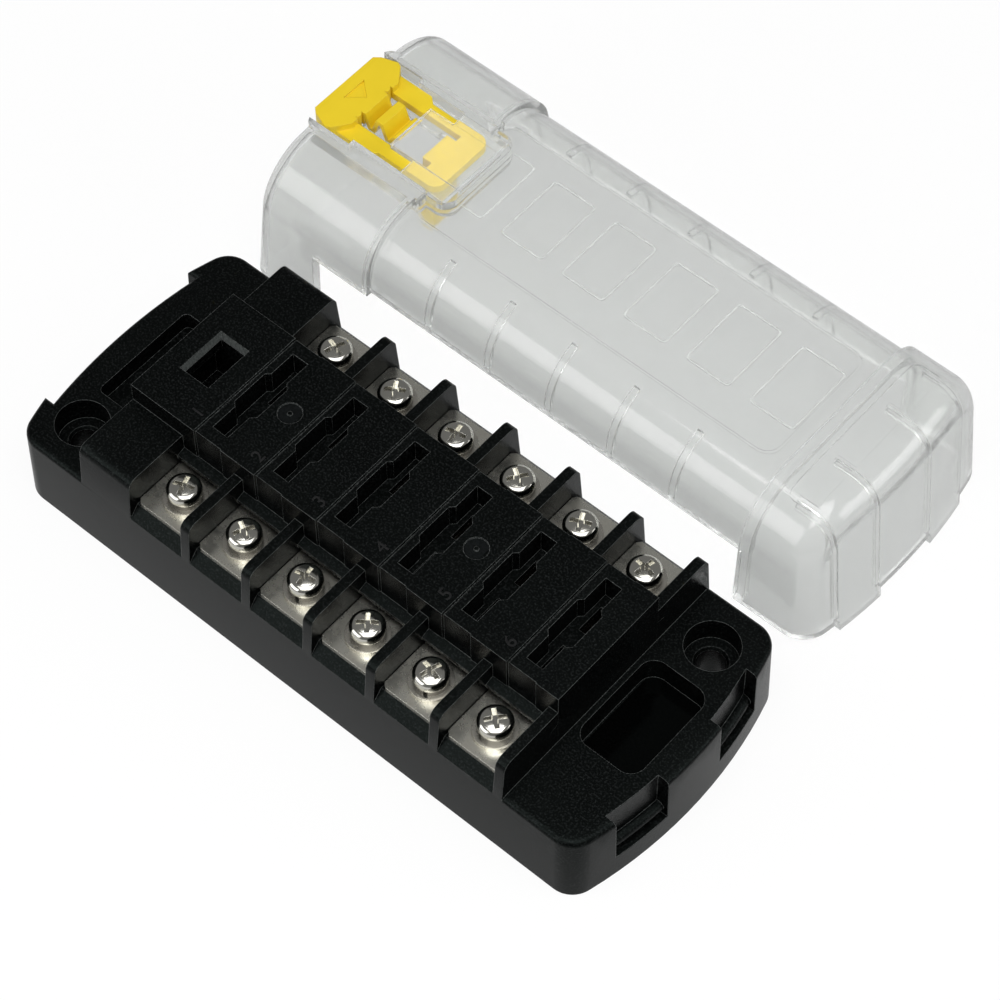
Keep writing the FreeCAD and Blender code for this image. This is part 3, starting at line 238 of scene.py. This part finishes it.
def edge_mask(tree, radius, grain):
    """1 on edges within a radius and 0 on flat faces, broken up by the grain."""
    rounded = tree.nodes.new("ShaderNodeBevel")
    rounded.samples = 6
    rounded.inputs["Radius"].default_value = radius
    flat = tree.nodes.new("ShaderNodeNewGeometry")
    turn = tree.nodes.new("ShaderNodeVectorMath")
    turn.operation = "DOT_PRODUCT"
    tree.links.new(rounded.outputs["Normal"], turn.inputs[0])
    tree.links.new(flat.outputs["Normal"], turn.inputs[1])
    edges = remap(tree, turn.outputs["Value"], EDGE_HIGHLIGHT_TURN, (1, 0))
    patches = remap(tree, grain, EDGE_HIGHLIGHT_GRAIN, (LEAST_EDGE_HIGHLIGHT, 1))
    return calculate(tree, "MULTIPLY", edges, patches)


def new_group(name, inputs):
    """Shader node group with named inputs, which gives a colour, a roughness and a height."""
    group = bpy.data.node_groups.new(name, "ShaderNodeTree")
    outputs = {"Colour": "Color", "Roughness": "Float", "Height": "Float"}
    for direction, sockets in (("INPUT", inputs), ("OUTPUT", outputs)):
        for title, kind in sockets.items():
            group.interface.new_socket(title, in_out=direction, socket_type=f"NodeSocket{kind}")
    given = group.nodes.new("NodeGroupInput").outputs
    shown = group.nodes.new("NodeGroupOutput").inputs
    return group, given, shown


def grain_group():
    """Moulded plastic: fine spark-eroded grain, soft colour drift and dust-like roughness."""
    group, given, shown = new_group("moulded_grain", {
        "Vector": "Vector", "Colour": "Color", "Drift": "Float", "Speckle": "Float",
        "Roughness Low": "Float", "Roughness High": "Float"})
    grain = noise(group, given["Vector"], GRAIN_SCALE, detail=2, roughness=0.6)
    broad = noise(group, given["Vector"], DRIFT_SCALE, detail=3, roughness=0.6)
    drift = calculate(group, "MULTIPLY_ADD", calculate(group, "SUBTRACT", broad, MIDDLE_VALUE),
                      given["Drift"], 1)
    specks = remap(group, grain, SPECK_VALUES, (0, 1))
    shade = group.nodes.new("ShaderNodeHueSaturation")
    group.links.new(given["Colour"], shade.inputs["Color"])
    group.links.new(calculate(group, "MULTIPLY_ADD", specks, given["Speckle"], drift),
                    shade.inputs["Value"])
    group.links.new(shade.outputs["Color"], shown["Colour"])
    ends = (given["Roughness Low"], given["Roughness High"])
    group.links.new(remap(group, broad, MOST_VALUES, ends), shown["Roughness"])
    group.links.new(grain, shown["Height"])
    return group


def plating_group():
    """Plated metal: faint cloudy tarnish and fine handling scratches."""
    group, given, shown = new_group("plating", {
        "Vector": "Vector", "Clean": "Color", "Tarnished": "Color", "Tarnish": "Float",
        "Roughness Low": "Float", "Roughness High": "Float"})
    cloud = noise(group, given["Vector"], CLOUD_SCALE, detail=4, roughness=0.6)
    stretch = group.nodes.new("ShaderNodeMapping")
    stretch.inputs["Scale"].default_value = SCRATCH_SCALES
    group.links.new(given["Vector"], stretch.inputs["Vector"])
    scratches = noise(group, stretch.outputs["Vector"], scale=1, detail=2, roughness=0.5)
    tarnish = calculate(group, "MULTIPLY", remap(group, cloud, TARNISH_VALUES, (0, 1)),
                        given["Tarnish"])
    group.links.new(blend(group, tarnish, given["Clean"], given["Tarnished"]), shown["Colour"])
    ends = (given["Roughness Low"], given["Roughness High"])
    group.links.new(remap(group, cloud, MOST_VALUES, ends), shown["Roughness"])
    group.links.new(scratches, shown["Height"])
    return group


# Finishes

def new_material(name):
    """Material whose node tree is empty."""
    material = bpy.data.materials.new(name)
    material.use_nodes = True
    material.node_tree.nodes.clear()
    return material, material.node_tree


def show_surface(tree, surface):
    """Material output that shows a shader socket."""
    output = tree.nodes.new("ShaderNodeOutputMaterial")
    tree.links.new(surface, output.inputs["Surface"])


def start_finish(name, group_name, make_group, settings):
    """Material with a Principled BSDF and a shared node group that is read in object space.

    The group is made the first time that it is needed, and settings maps its inputs to values."""
    material, tree = new_material(name)
    group = tree.nodes.new("ShaderNodeGroup")
    group.node_tree = bpy.data.node_groups.get(group_name) or make_group()
    vector = tree.nodes.new("ShaderNodeTexCoord").outputs["Object"]
    tree.links.new(vector, group.inputs["Vector"])
    for title, value in settings.items():
        feed(tree, group.inputs[title], value)
    return material, tree.nodes.new("ShaderNodeBsdfPrincipled"), group.outputs, vector


def bump_and_round(tree, shader, height, strength, distance, rounding):
    """Bump from a height over edges that are softened by a small radius."""
    bump = tree.nodes.new("ShaderNodeBump")
    bump.inputs["Strength"].default_value = strength
    bump.inputs["Distance"].default_value = distance
    tree.links.new(height, bump.inputs["Height"])
    if rounding:
        bevel = tree.nodes.new("ShaderNodeBevel")
        bevel.samples = 4
        bevel.inputs["Radius"].default_value = rounding
        tree.links.new(bevel.outputs["Normal"], bump.inputs["Normal"])
    tree.links.new(bump.outputs["Normal"], shader.inputs["Normal"])


def plastic(name, colour, drift, roughness, grain_depth, rounding, specular=0.5, speckle=0,
            own_tones_and_painted_highlight=(), rubbed_colour=None, wall_roughness=None, shiny=(), sheen=WHITE):
    """Moulded plastic finish with the shared grain and softened edges.

    Each of own_tones_and_painted_highlight is (corners, colour), a box of object space and the
    colour laid on it; the boxes hold marks with a tone of their own and painted highlights. Each of
    shiny is the corners of a box where the faces are smooth. rubbed_colour is a painted highlight
    on the edges, wall_roughness is the roughness of upright faces, and sheen tints the highlights."""
    material, shader, given, vector = start_finish(name, "moulded_grain", grain_group, {
        "Colour": colour, "Drift": drift, "Speckle": speckle,
        "Roughness Low": roughness[0], "Roughness High": roughness[1]})
    tree = material.node_tree
    shown, rough, height = given["Colour"], given["Roughness"], given["Height"]
    # Boxes with a colour of their own; the latch hole's rim among them is a painted highlight.
    for corners, tint in own_tones_and_painted_highlight:
        mask = calculate(tree, "MULTIPLY", box_mask(tree, vector, corners),
                         remap(tree, height, MOST_VALUES, (LEAST_TINT, 1)))
        shown = blend(tree, mask, shown, tint)
    if rubbed_colour:
        # Painted highlight: the edges are coloured lighter to stand in for the light that their
        # rounding catches.
        shown = blend(tree, edge_mask(tree, EDGE_HIGHLIGHT_WIDTH, height), shown, rubbed_colour)
    if wall_roughness:
        faces = tree.nodes.new("ShaderNodeNewGeometry")
        split = tree.nodes.new("ShaderNodeSeparateXYZ")
        tree.links.new(faces.outputs["Normal"], split.inputs["Vector"])
        rough = remap(tree, split.outputs["Z"], WALL_TO_TOP, (wall_roughness, rough))
    for corners in shiny:
        mask = box_mask(tree, vector, corners)
        rough = remap(tree, mask, (0, 1), (rough, SHINY_ROUGHNESS))
        height = remap(tree, mask, (0, 1), (height, MIDDLE_VALUE))
    tree.links.new(shown, shader.inputs["Base Color"])
    tree.links.new(rough, shader.inputs["Roughness"])
    shader.inputs["Specular IOR Level"].default_value = specular
    shader.inputs["Specular Tint"].default_value = (*sheen, 1)
    bump_and_round(tree, shader, height, strength=1, distance=grain_depth, rounding=rounding)
    show_surface(tree, shader.outputs["BSDF"])
    return material


def plated(name, clean, tarnished, tarnish, roughness, rounding, shaded_half_width=0):
    """Plated metal finish with the shared tarnish and scratches.

    It is painted in shade where it lies nearer to the middle line than shaded_half_width."""
    material, shader, given, vector = start_finish(name, "plating", plating_group, {
        "Clean": clean, "Tarnished": tarnished, "Tarnish": tarnish,
        "Roughness Low": roughness[0], "Roughness High": roughness[1]})
    tree = material.node_tree
    shown = given["Colour"]
    # Painted shade on the plates and clips under the tower
    if shaded_half_width:
        shaded = ((-1, -shaded_half_width, -1), (1, shaded_half_width, 1))
        shown = blend(tree, box_mask(tree, vector, shaded), shown, SHADED_PLATE)
    tree.links.new(shown, shader.inputs["Base Color"])
    tree.links.new(given["Roughness"], shader.inputs["Roughness"])
    shader.inputs["Metallic"].default_value = 1
    bump_and_round(tree, shader, given["Height"], strength=0.15, distance=0.01 * MM,
                   rounding=rounding)
    show_surface(tree, shader.outputs["BSDF"])
    return material


def clear_plastic(name, colour, roughness, rounding):
    """Clear polycarbonate with a slightly uneven moulded surface, soft edges and a light shadow."""
    material, shader, given, vector = start_finish(name, "moulded_grain", grain_group, {
        "Colour": colour, "Drift": 0.02,
        "Roughness Low": roughness[0], "Roughness High": roughness[1]})
    tree = material.node_tree
    tree.links.new(given["Colour"], shader.inputs["Base Color"])
    tree.links.new(given["Roughness"], shader.inputs["Roughness"])
    shader.inputs["IOR"].default_value = 1.45
    shader.inputs["Transmission Weight"].default_value = 0.9
    waves = noise(tree, vector, WAVES_SCALE, detail=2, roughness=0.5)
    bump_and_round(tree, shader, waves, strength=0.25, distance=0.3 * MM, rounding=rounding)
    rays = tree.nodes.new("ShaderNodeLightPath").outputs
    passing = tree.nodes.new("ShaderNodeBsdfTransparent")
    passing.inputs["Color"].default_value = (*CLEAR_SHADOW, 1)
    show_surface(tree, blend_shaders(tree, rays["Is Shadow Ray"], shader.outputs["BSDF"],
                                     passing.outputs["BSDF"]))
    return material


def floor_finish():
    """Floor that is white to the camera but for a soft shadow, and greyer through the cover."""
    material, tree = new_material("pale_floor")
    rays = tree.nodes.new("ShaderNodeLightPath").outputs
    share = 0
    for ray, amount in FLOOR_GLOW:
        share = calculate(tree, "MULTIPLY_ADD", rays[ray], amount, share)
    # The sum of the shares stays between none and all of the glow.
    share.node.use_clamp = True
    indirect = blend(tree, rays["Is Transmission Ray"], FLOOR_COLOUR, FLOOR_COLOUR_THROUGH_COVER)
    lit = tree.nodes.new("ShaderNodeBsdfDiffuse")
    tree.links.new(blend(tree, rays["Is Camera Ray"], indirect, WHITE), lit.inputs["Color"])
    glow = tree.nodes.new("ShaderNodeEmission")
    glow.inputs["Color"].default_value = (*WHITE, 1)
    glow.inputs["Strength"].default_value = 1
    show_surface(tree, blend_shaders(tree, share, lit.outputs["BSDF"], glow.outputs["Emission"]))
    return material


# Pieces

def new_piece(name, shape, material):
    """Object of one material made from a bmesh, which is freed."""
    mesh = bpy.data.meshes.new(name)
    shape.to_mesh(mesh)
    shape.free()
    mesh.materials.append(material)
    piece = bpy.data.objects.new(name, mesh)
    bpy.context.scene.collection.objects.link(piece)
    return piece


def smooth_copy(node_name, piece_name, material, angle):
    """Copy of a CAD node with merged vertices, smooth faces and edges kept sharp above an angle."""
    source = frame["nodes"][node_name]
    shape = bmesh.new()
    shape.from_mesh(source.data)
    bmesh.ops.remove_doubles(shape, verts=shape.verts, dist=MERGE_DISTANCE)
    bmesh.ops.dissolve_degenerate(shape, dist=FINE_DISTANCE, edges=shape.edges)
    for face in shape.faces:
        face.smooth = True
        face.material_index = 0
    for edge in shape.edges:
        edge.smooth = len(edge.link_faces) == 2 and edge.calc_face_angle(0) < angle
    piece = new_piece(piece_name, shape, material)
    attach(piece, source["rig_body"])
    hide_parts(node_name)
    return piece


def numeral(text, height, thickness):
    """Mesh of a numeral that lies flat, centred on the origin and closed on all sides."""
    curve = bpy.data.curves.new("numeral", "FONT")
    curve.body = text
    curve.size = height / DIGIT_SHARE
    curve.extrude = thickness / 2
    curve.resolution_u = 4
    curve.align_x = "CENTER"
    curve.align_y = "CENTER"
    holder = bpy.data.objects.new("numeral", curve)
    bpy.context.scene.collection.objects.link(holder)
    bpy.context.view_layer.update()
    evaluated = holder.evaluated_get(bpy.context.evaluated_depsgraph_get())
    mesh = bpy.data.meshes.new_from_object(evaluated)
    bpy.data.objects.remove(holder)
    bpy.data.curves.remove(curve)
    return mesh


def label_outline(shape, shift, width, floor, top):
    """Rounded rectangular bead of one label field, added to a bmesh."""
    low = Vector((FIRST_LABEL_LEFT + shift, COVER_MIDDLE_Y + LABEL_FRONT, floor))
    high = Vector((FIRST_LABEL_RIGHT + shift, COVER_MIDDLE_Y + LABEL_BACK, floor))
    place = Matrix.Translation((low + high) / 2) @ Matrix.Diagonal((*(high - low).xy, 1, 1))
    grid = bmesh.ops.create_grid(shape, x_segments=1, y_segments=1, size=0.5, matrix=place)
    bmesh.ops.bevel(shape, geom=grid["verts"], offset=LABEL_RADIUS, offset_type="OFFSET",
                    segments=6, profile=0.5, affect="VERTICES", material=-1)
    panel = max(shape.faces, key=lambda face: len(face.verts))
    ring = bmesh.ops.inset_region(shape, faces=[panel], thickness=width, use_boundary=True,
                                  use_even_offset=True)["faces"]
    bmesh.ops.delete(shape, geom=[panel], context="FACES")
    raised = bmesh.ops.extrude_face_region(shape, geom=ring, use_keep_orig=True)["geom"]
    bmesh.ops.translate(shape, vec=(0, 0, top - floor),
                        verts=[item for item in raised if isinstance(item, bmesh.types.BMVert)])


class FuseBlockFinish(bpy.types.PropertyGroup):
    """Colours, soft edges and raised marks of the pieces."""

    base_colour: FloatVectorProperty(
        name="Base", description="Colour of the black moulding", subtype="COLOR",
        default=(0.0006, 0.00066, 0.00066), min=0, max=1)
    # Painted highlight along the black moulding's edges
    rubbed_colour: FloatVectorProperty(
        name="Edge highlights", description="Colour of the black moulding's edges", subtype="COLOR",
        default=(0.17, 0.18, 0.175), min=0, max=1)
    latch_colour: FloatVectorProperty(
        name="Latch", description="Colour of the sliding latch", subtype="COLOR",
        default=(0.85, 0.625, 0.02), min=0, max=1)
    cover_colour: FloatVectorProperty(
        name="Cover", description="Tint of the clear cover", subtype="COLOR",
        default=(0.955, 0.965, 0.955), min=0, max=1)
    plate_colour: FloatVectorProperty(
        name="Plates", description="Colour of the terminal plates", subtype="COLOR",
        default=(0.78, 0.77, 0.69), min=0, max=1)
    screw_colour: FloatVectorProperty(
        name="Screws", description="Colour of the screws", subtype="COLOR",
        default=(0.6, 0.59, 0.54), min=0, max=1)
    lock_washer_colour: FloatVectorProperty(
        name="Lock washers", description="Colour of the split lock washers", subtype="COLOR",
        default=(0.14, 0.135, 0.12), min=0, max=1)
    flat_washer_colour: FloatVectorProperty(
        name="Flat washers", description="Colour of the flat washers", subtype="COLOR",
        default=(0.6, 0.58, 0.52), min=0, max=1)
    edge_radius: FloatProperty(
        name="Edge softness", description="Radius that edges of the base are softened by",
        unit="LENGTH", default=0.32 * MM, min=0)
    outline_width: FloatProperty(
        name="Outline width", description="Width of the label outlines on the cover",
        unit="LENGTH", default=0.35 * MM, min=0)
    outline_height: FloatProperty(
        name="Outline height", description="How far the label outlines stand out",
        unit="LENGTH", default=0.14 * MM, min=0)
    # The numbers are coloured lighter than the base moulding so that they show.
    number_colour: FloatVectorProperty(
        name="Numbers", description="Colour of the raised numbers, lighter than the base", subtype="COLOR",
        default=(0.0055, 0.0058, 0.006), min=0, max=1)
    number_height: FloatProperty(
        name="Number height", description="Height of the raised numbers", unit="LENGTH",
        default=2.5 * MM, min=0)
    number_depth: FloatProperty(
        name="Number depth", description="How far the numbers stand out", unit="LENGTH",
        default=0.12 * MM, min=0)
    smooth_angle: FloatProperty(
        name="Smooth angle", description="Edges flatter than this are shaded smooth",
        subtype="ANGLE", default=math.radians(28))


class FuseBlockStage(bpy.types.PropertyGroup):
    """Camera and studio light."""

    azimuth: FloatProperty(
        name="Azimuth", description="Camera's turn about the vertical", subtype="ANGLE",
        default=math.radians(41.24))
    elevation: FloatProperty(
        name="Elevation", description="Camera's height above the horizon", subtype="ANGLE",
        default=math.radians(56.42))
    roll: FloatProperty(
        name="Roll", description="Camera's turn about its own view", subtype="ANGLE",
        default=math.radians(-0.56))
    target: FloatVectorProperty(
        name="Target", description="Point at the centre of the picture", subtype="TRANSLATION",
        unit="LENGTH", default=in_mm(16.23, 10.55, 30.82))
    distance: FloatProperty(
        name="Distance", description="From the camera to its target", unit="LENGTH",
        default=577.2 * MM)
    lens: FloatProperty(
        name="Lens", description="Focal length in millimetres on a 36 mm wide sensor",
        default=121.8)
    overhead_power: FloatProperty(
        name="Overhead light", description="Power of the overhead panel", unit="POWER",
        default=3.9)
    front_power: FloatProperty(
        name="Front light", description="Power of the front left panel", unit="POWER",
        default=2.6)
    back_power: FloatProperty(
        name="Back light", description="Power of the panel behind at the right", unit="POWER",
        default=1.6)
    world_level: FloatProperty(
        name="Surroundings", description="Brightness of the plain surroundings", default=0.2)
    world_level_through_cover: FloatProperty(
        name="Surroundings through cover",
        description="Brightness of the plain surroundings, seen through the clear cover",
        default=0.9)


class FUSEBLOCK_OT_dress_base(bpy.types.Operator):
    """Give the base housing its black moulded finish"""

    bl_idname = "fuseblock.dress_base"
    bl_label = "Base housing"

    def execute(self, context):
        finish = context.scene.fuse_block_finish
        # The edge colour and the latch hole's rim are painted highlights.
        black = plastic(
            "black_moulding", finish.base_colour, drift=0.3, roughness=(0.34, 0.44),
            grain_depth=0.045 * MM, rounding=finish.edge_radius, specular=0.092, speckle=24,
            own_tones_and_painted_highlight=OWN_TONES_AND_PAINTED_HIGHLIGHT, rubbed_colour=finish.rubbed_colour, wall_roughness=0.22,
            shiny=SHINY_PARTS, sheen=(0.8, 1, 0.94))
        piece = smooth_copy("base_housing", "housing", black, finish.smooth_angle)
        return {"FINISHED"}


class FUSEBLOCK_OT_add_numbers(bpy.types.Operator):
    """Add the raised circuit numbers beside the fuse slots"""

    bl_idname = "fuseblock.add_numbers"
    bl_label = "Raised numbers"

    def execute(self, context):
        finish = context.scene.fuse_block_finish
        # The numbers' colour is lighter than the base moulding's so that they show.
        black = plastic("number_moulding", finish.number_colour, drift=0.3, roughness=(0.3, 0.4),
                        grain_depth=0.02 * MM, rounding=0.06 * MM, specular=0.4)
        shape = bmesh.new()
        for number in range(1, CIRCUITS + 1):
            # The lower half of a numeral is sunk in the tower's top.
            mesh = numeral(str(number), finish.number_height, 2 * finish.number_depth)
            spot = Vector((FIRST_NUMBER_X + (number - 1) * PITCH, NUMBERS_Y, TOWER_TOP))
            mesh.transform(Matrix.Translation(spot) @ Matrix.Rotation(math.pi / 2, 4, "Z"))
            shape.from_mesh(mesh)
            bpy.data.meshes.remove(mesh)
        bmesh.ops.remove_doubles(shape, verts=shape.verts, dist=FINE_DISTANCE)
        bmesh.ops.recalc_face_normals(shape, faces=shape.faces)
        piece = new_piece("circuit_numbers", shape, black)
        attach(piece, frame["nodes"]["base_housing"]["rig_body"])
        return {"FINISHED"}


class FUSEBLOCK_OT_dress_terminals(bpy.types.Operator):
    """Give the terminal plates, clips and nuts their plated finish"""

    bl_idname = "fuseblock.dress_terminals"
    bl_label = "Terminals and nuts"

    def execute(self, context):
        finish = context.scene.fuse_block_finish
        plate = plated(
            "plate_nickel", finish.plate_colour, tarnished=(0.4, 0.37, 0.31), tarnish=0.5,
            roughness=(0.2, 0.34), rounding=0.1 * MM, shaded_half_width=SHADED_HALF_WIDTH)
        for side in ("front", "back"):
            for number in range(1, CIRCUITS + 1):
                name = f"{side}_terminal_{number}"
                piece = smooth_copy(name, f"{side}_plate_{number}", plate, finish.smooth_angle)
        nuts = smooth_copy("terminal_nuts", "nuts", plate, finish.smooth_angle)
        return {"FINISHED"}


class FUSEBLOCK_OT_dress_screws(bpy.types.Operator):
    """Give the screws and washers their bright finish"""

    bl_idname = "fuseblock.dress_screws"
    bl_label = "Screws and washers"

    def execute(self, context):
        finish = context.scene.fuse_block_finish
        bright = plated("bright_nickel", finish.screw_colour, tarnished=(0.55, 0.53, 0.47),
                        tarnish=0.25, roughness=(0.1, 0.18), rounding=0.12 * MM)
        spring = plated("spring_nickel", finish.lock_washer_colour, tarnished=(0.12, 0.11, 0.095),
                        tarnish=0.4, roughness=(0.2, 0.32), rounding=0.1 * MM)
        dull = plated("washer_nickel", finish.flat_washer_colour, tarnished=(0.42, 0.39, 0.34),
                      tarnish=0.4, roughness=(0.2, 0.32), rounding=0.1 * MM)
        metals = {"screw": bright, "lock_washer": spring, "flat_washer": dull}
        for side in ("front", "back"):
            for number in range(1, CIRCUITS + 1):
                for kind, metal in metals.items():
                    name = f"{side}_{kind}_{number}"
                    piece = smooth_copy(name, f"{name}_plated", metal, finish.smooth_angle)
        return {"FINISHED"}


class FUSEBLOCK_OT_dress_cover(bpy.types.Operator):
    """Give the cover its clear moulded finish"""

    bl_idname = "fuseblock.dress_cover"
    bl_label = "Cover"

    def execute(self, context):
        finish = context.scene.fuse_block_finish
        clear = clear_plastic("clear_cover", finish.cover_colour, roughness=(0.09, 0.14),
                              rounding=0.3 * MM)
        piece = smooth_copy("cover", "clear_shell", clear, finish.smooth_angle)
        return {"FINISHED"}


class FUSEBLOCK_OT_add_label_outlines(bpy.types.Operator):
    """Add the raised outlines of the label fields on the cover"""

    bl_idname = "fuseblock.add_label_outlines"
    bl_label = "Label outlines"

    def execute(self, context):
        finish = context.scene.fuse_block_finish
        clear = clear_plastic("clear_outline", finish.cover_colour, roughness=(0.05, 0.08),
                              rounding=0)
        shape = bmesh.new()
        for number in range(CIRCUITS):
            label_outline(shape, number * PITCH, finish.outline_width,
                          COVER_TOP + OUTLINE_LIFT, COVER_TOP + finish.outline_height)
        # The latch seat cuts the first label field short.
        everything = [*shape.verts, *shape.edges, *shape.faces]
        cut = bmesh.ops.bisect_plane(shape, geom=everything, dist=0.0001 * MM, clear_inner=True,
                                     plane_co=(LABEL_CUT_X, 0, 0), plane_no=(1, 0, 0))
        rim = [item for item in cut["geom_cut"] if isinstance(item, bmesh.types.BMEdge)]
        bmesh.ops.holes_fill(shape, edges=rim)
        bmesh.ops.recalc_face_normals(shape, faces=shape.faces)
        piece = new_piece("label_outlines", shape, clear)
        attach(piece, frame["nodes"]["cover"]["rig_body"])
        return {"FINISHED"}


class FUSEBLOCK_OT_dress_latch(bpy.types.Operator):
    """Give the latch its yellow moulded finish"""

    bl_idname = "fuseblock.dress_latch"
    bl_label = "Latch"

    def execute(self, context):
        finish = context.scene.fuse_block_finish
        yellow = plastic("yellow_moulding", finish.latch_colour, drift=0.15, roughness=(0.3, 0.4),
                         grain_depth=0.01 * MM, rounding=0.2 * MM)
        piece = smooth_copy("latch", "yellow_latch", yellow, finish.smooth_angle)
        return {"FINISHED"}


# Stage

def add_floor():
    """Large square that the fuse block and its cover lie on."""
    shape = bmesh.new()
    bmesh.ops.create_grid(shape, x_segments=1, y_segments=1, size=FLOOR_HALF_SIDE)
    new_piece("floor", shape, floor_finish())


def add_world(level, level_through_cover):
    """Plain white surroundings that are brighter through the clear cover."""
    world = bpy.data.worlds.new("plain_studio")
    bpy.context.scene.world = world
    world.use_nodes = True
    tree = world.node_tree
    tree.nodes.clear()
    rays = tree.nodes.new("ShaderNodeLightPath").outputs
    surround = tree.nodes.new("ShaderNodeBackground")
    surround.inputs["Color"].default_value = (*WHITE, 1)
    tree.links.new(remap(tree, rays["Is Transmission Ray"], (0, 1), (level, level_through_cover)),
                   surround.inputs["Strength"])
    output = tree.nodes.new("ShaderNodeOutputWorld")
    tree.links.new(surround.outputs["Background"], output.inputs["Surface"])


def add_panel_light(name, target, offset, size, power):
    """Rectangular soft light at an offset from a target and turned towards it."""
    data = bpy.data.lights.new(name, "AREA")
    data.shape = "RECTANGLE"
    data.size, data.size_y = size
    data.energy = power
    lamp = bpy.data.objects.new(name, data)
    bpy.context.scene.collection.objects.link(lamp)
    lamp.location = target + Vector(offset)
    lamp.rotation_mode = "QUATERNION"
    lamp.rotation_quaternion = (target - lamp.location).to_track_quat("-Z", "Y")


def add_camera(stage):
    """Camera that looks at the stage's target from its azimuth and elevation."""
    data = bpy.data.cameras.new("camera")
    data.lens = stage.lens
    data.sensor_width = 36
    data.clip_start = 0.01
    data.clip_end = 20
    camera = bpy.data.objects.new("camera", data)
    bpy.context.scene.collection.objects.link(camera)
    back = Vector((
        math.sin(stage.azimuth) * math.cos(stage.elevation),
        -math.cos(stage.azimuth) * math.cos(stage.elevation),
        math.sin(stage.elevation)))
    right = Vector((math.cos(stage.azimuth), math.sin(stage.azimuth), 0))
    up = back.cross(right)
    turned_right = math.cos(stage.roll) * right + math.sin(stage.roll) * up
    turned_up = back.cross(turned_right)
    place = Matrix((turned_right, turned_up, back)).transposed().to_4x4()
    place.translation = Vector(stage.target) + stage.distance * back
    camera.matrix_world = place
    bpy.context.scene.camera = camera


class FUSEBLOCK_OT_build_stage(bpy.types.Operator):
    """Add the floor, the soft lights, the plain world and the camera"""

    bl_idname = "fuseblock.build_stage"
    bl_label = "Studio and camera"

    def execute(self, context):
        stage = context.scene.fuse_block_stage
        add_floor()
        add_world(stage.world_level, stage.world_level_through_cover)
        target = Vector(stage.target)
        add_panel_light("overhead_panel", target, offset=(0.14, -0.14, 0.68), size=(0.6, 0.6),
                        power=stage.overhead_power)
        add_panel_light("front_left_panel", target, offset=(-0.32, -0.66, 0.36), size=(0.7, 0.5),
                        power=stage.front_power)
        add_panel_light("right_back_panel", target, offset=(0.66, 0.36, 0.34), size=(0.5, 0.35),
                        power=stage.back_power)
        add_camera(stage)
        context.scene.view_settings.view_transform = "Standard"
        return {"FINISHED"}


class FUSEBLOCK_PT_panel(bpy.types.Panel):
    """Lists the steps that dress the fuse block"""

    bl_idname = "FUSEBLOCK_PT_panel"
    bl_label = "Fuse Block"
    bl_space_type = "VIEW_3D"
    bl_region_type = "UI"
    bl_category = "Fuse Block"

    def draw(self, context):
        layout = self.layout
        for step in STEPS:
            layout.operator(step.bl_idname)
        for settings in (context.scene.fuse_block_finish, context.scene.fuse_block_stage):
            box = layout.box()
            for name in settings.bl_rna.properties.keys():
                if name not in ("rna_type", "name"):
                    box.prop(settings, name)


STEPS = (
    FUSEBLOCK_OT_dress_base,
    FUSEBLOCK_OT_add_numbers,
    FUSEBLOCK_OT_dress_terminals,
    FUSEBLOCK_OT_dress_screws,
    FUSEBLOCK_OT_dress_cover,
    FUSEBLOCK_OT_add_label_outlines,
    FUSEBLOCK_OT_dress_latch,
    FUSEBLOCK_OT_build_stage,
)
CLASSES = (FuseBlockFinish, FuseBlockStage, *STEPS, FUSEBLOCK_PT_panel)


def register():
    for item in CLASSES:
        bpy.utils.register_class(item)
    bpy.types.Scene.fuse_block_finish = PointerProperty(type=FuseBlockFinish)
    bpy.types.Scene.fuse_block_stage = PointerProperty(type=FuseBlockStage)


def unregister():
    del bpy.types.Scene.fuse_block_stage
    del bpy.types.Scene.fuse_block_finish
    for item in reversed(CLASSES):
        bpy.utils.unregister_class(item)


def main():
    register()
    bpy.ops.fuseblock.dress_base()
    bpy.ops.fuseblock.add_numbers()
    bpy.ops.fuseblock.dress_terminals()
    bpy.ops.fuseblock.dress_screws()
    bpy.ops.fuseblock.dress_cover()
    bpy.ops.fuseblock.add_label_outlines()
    bpy.ops.fuseblock.dress_latch()
    bpy.ops.fuseblock.build_stage()


if __name__ == "__main__":
    main()
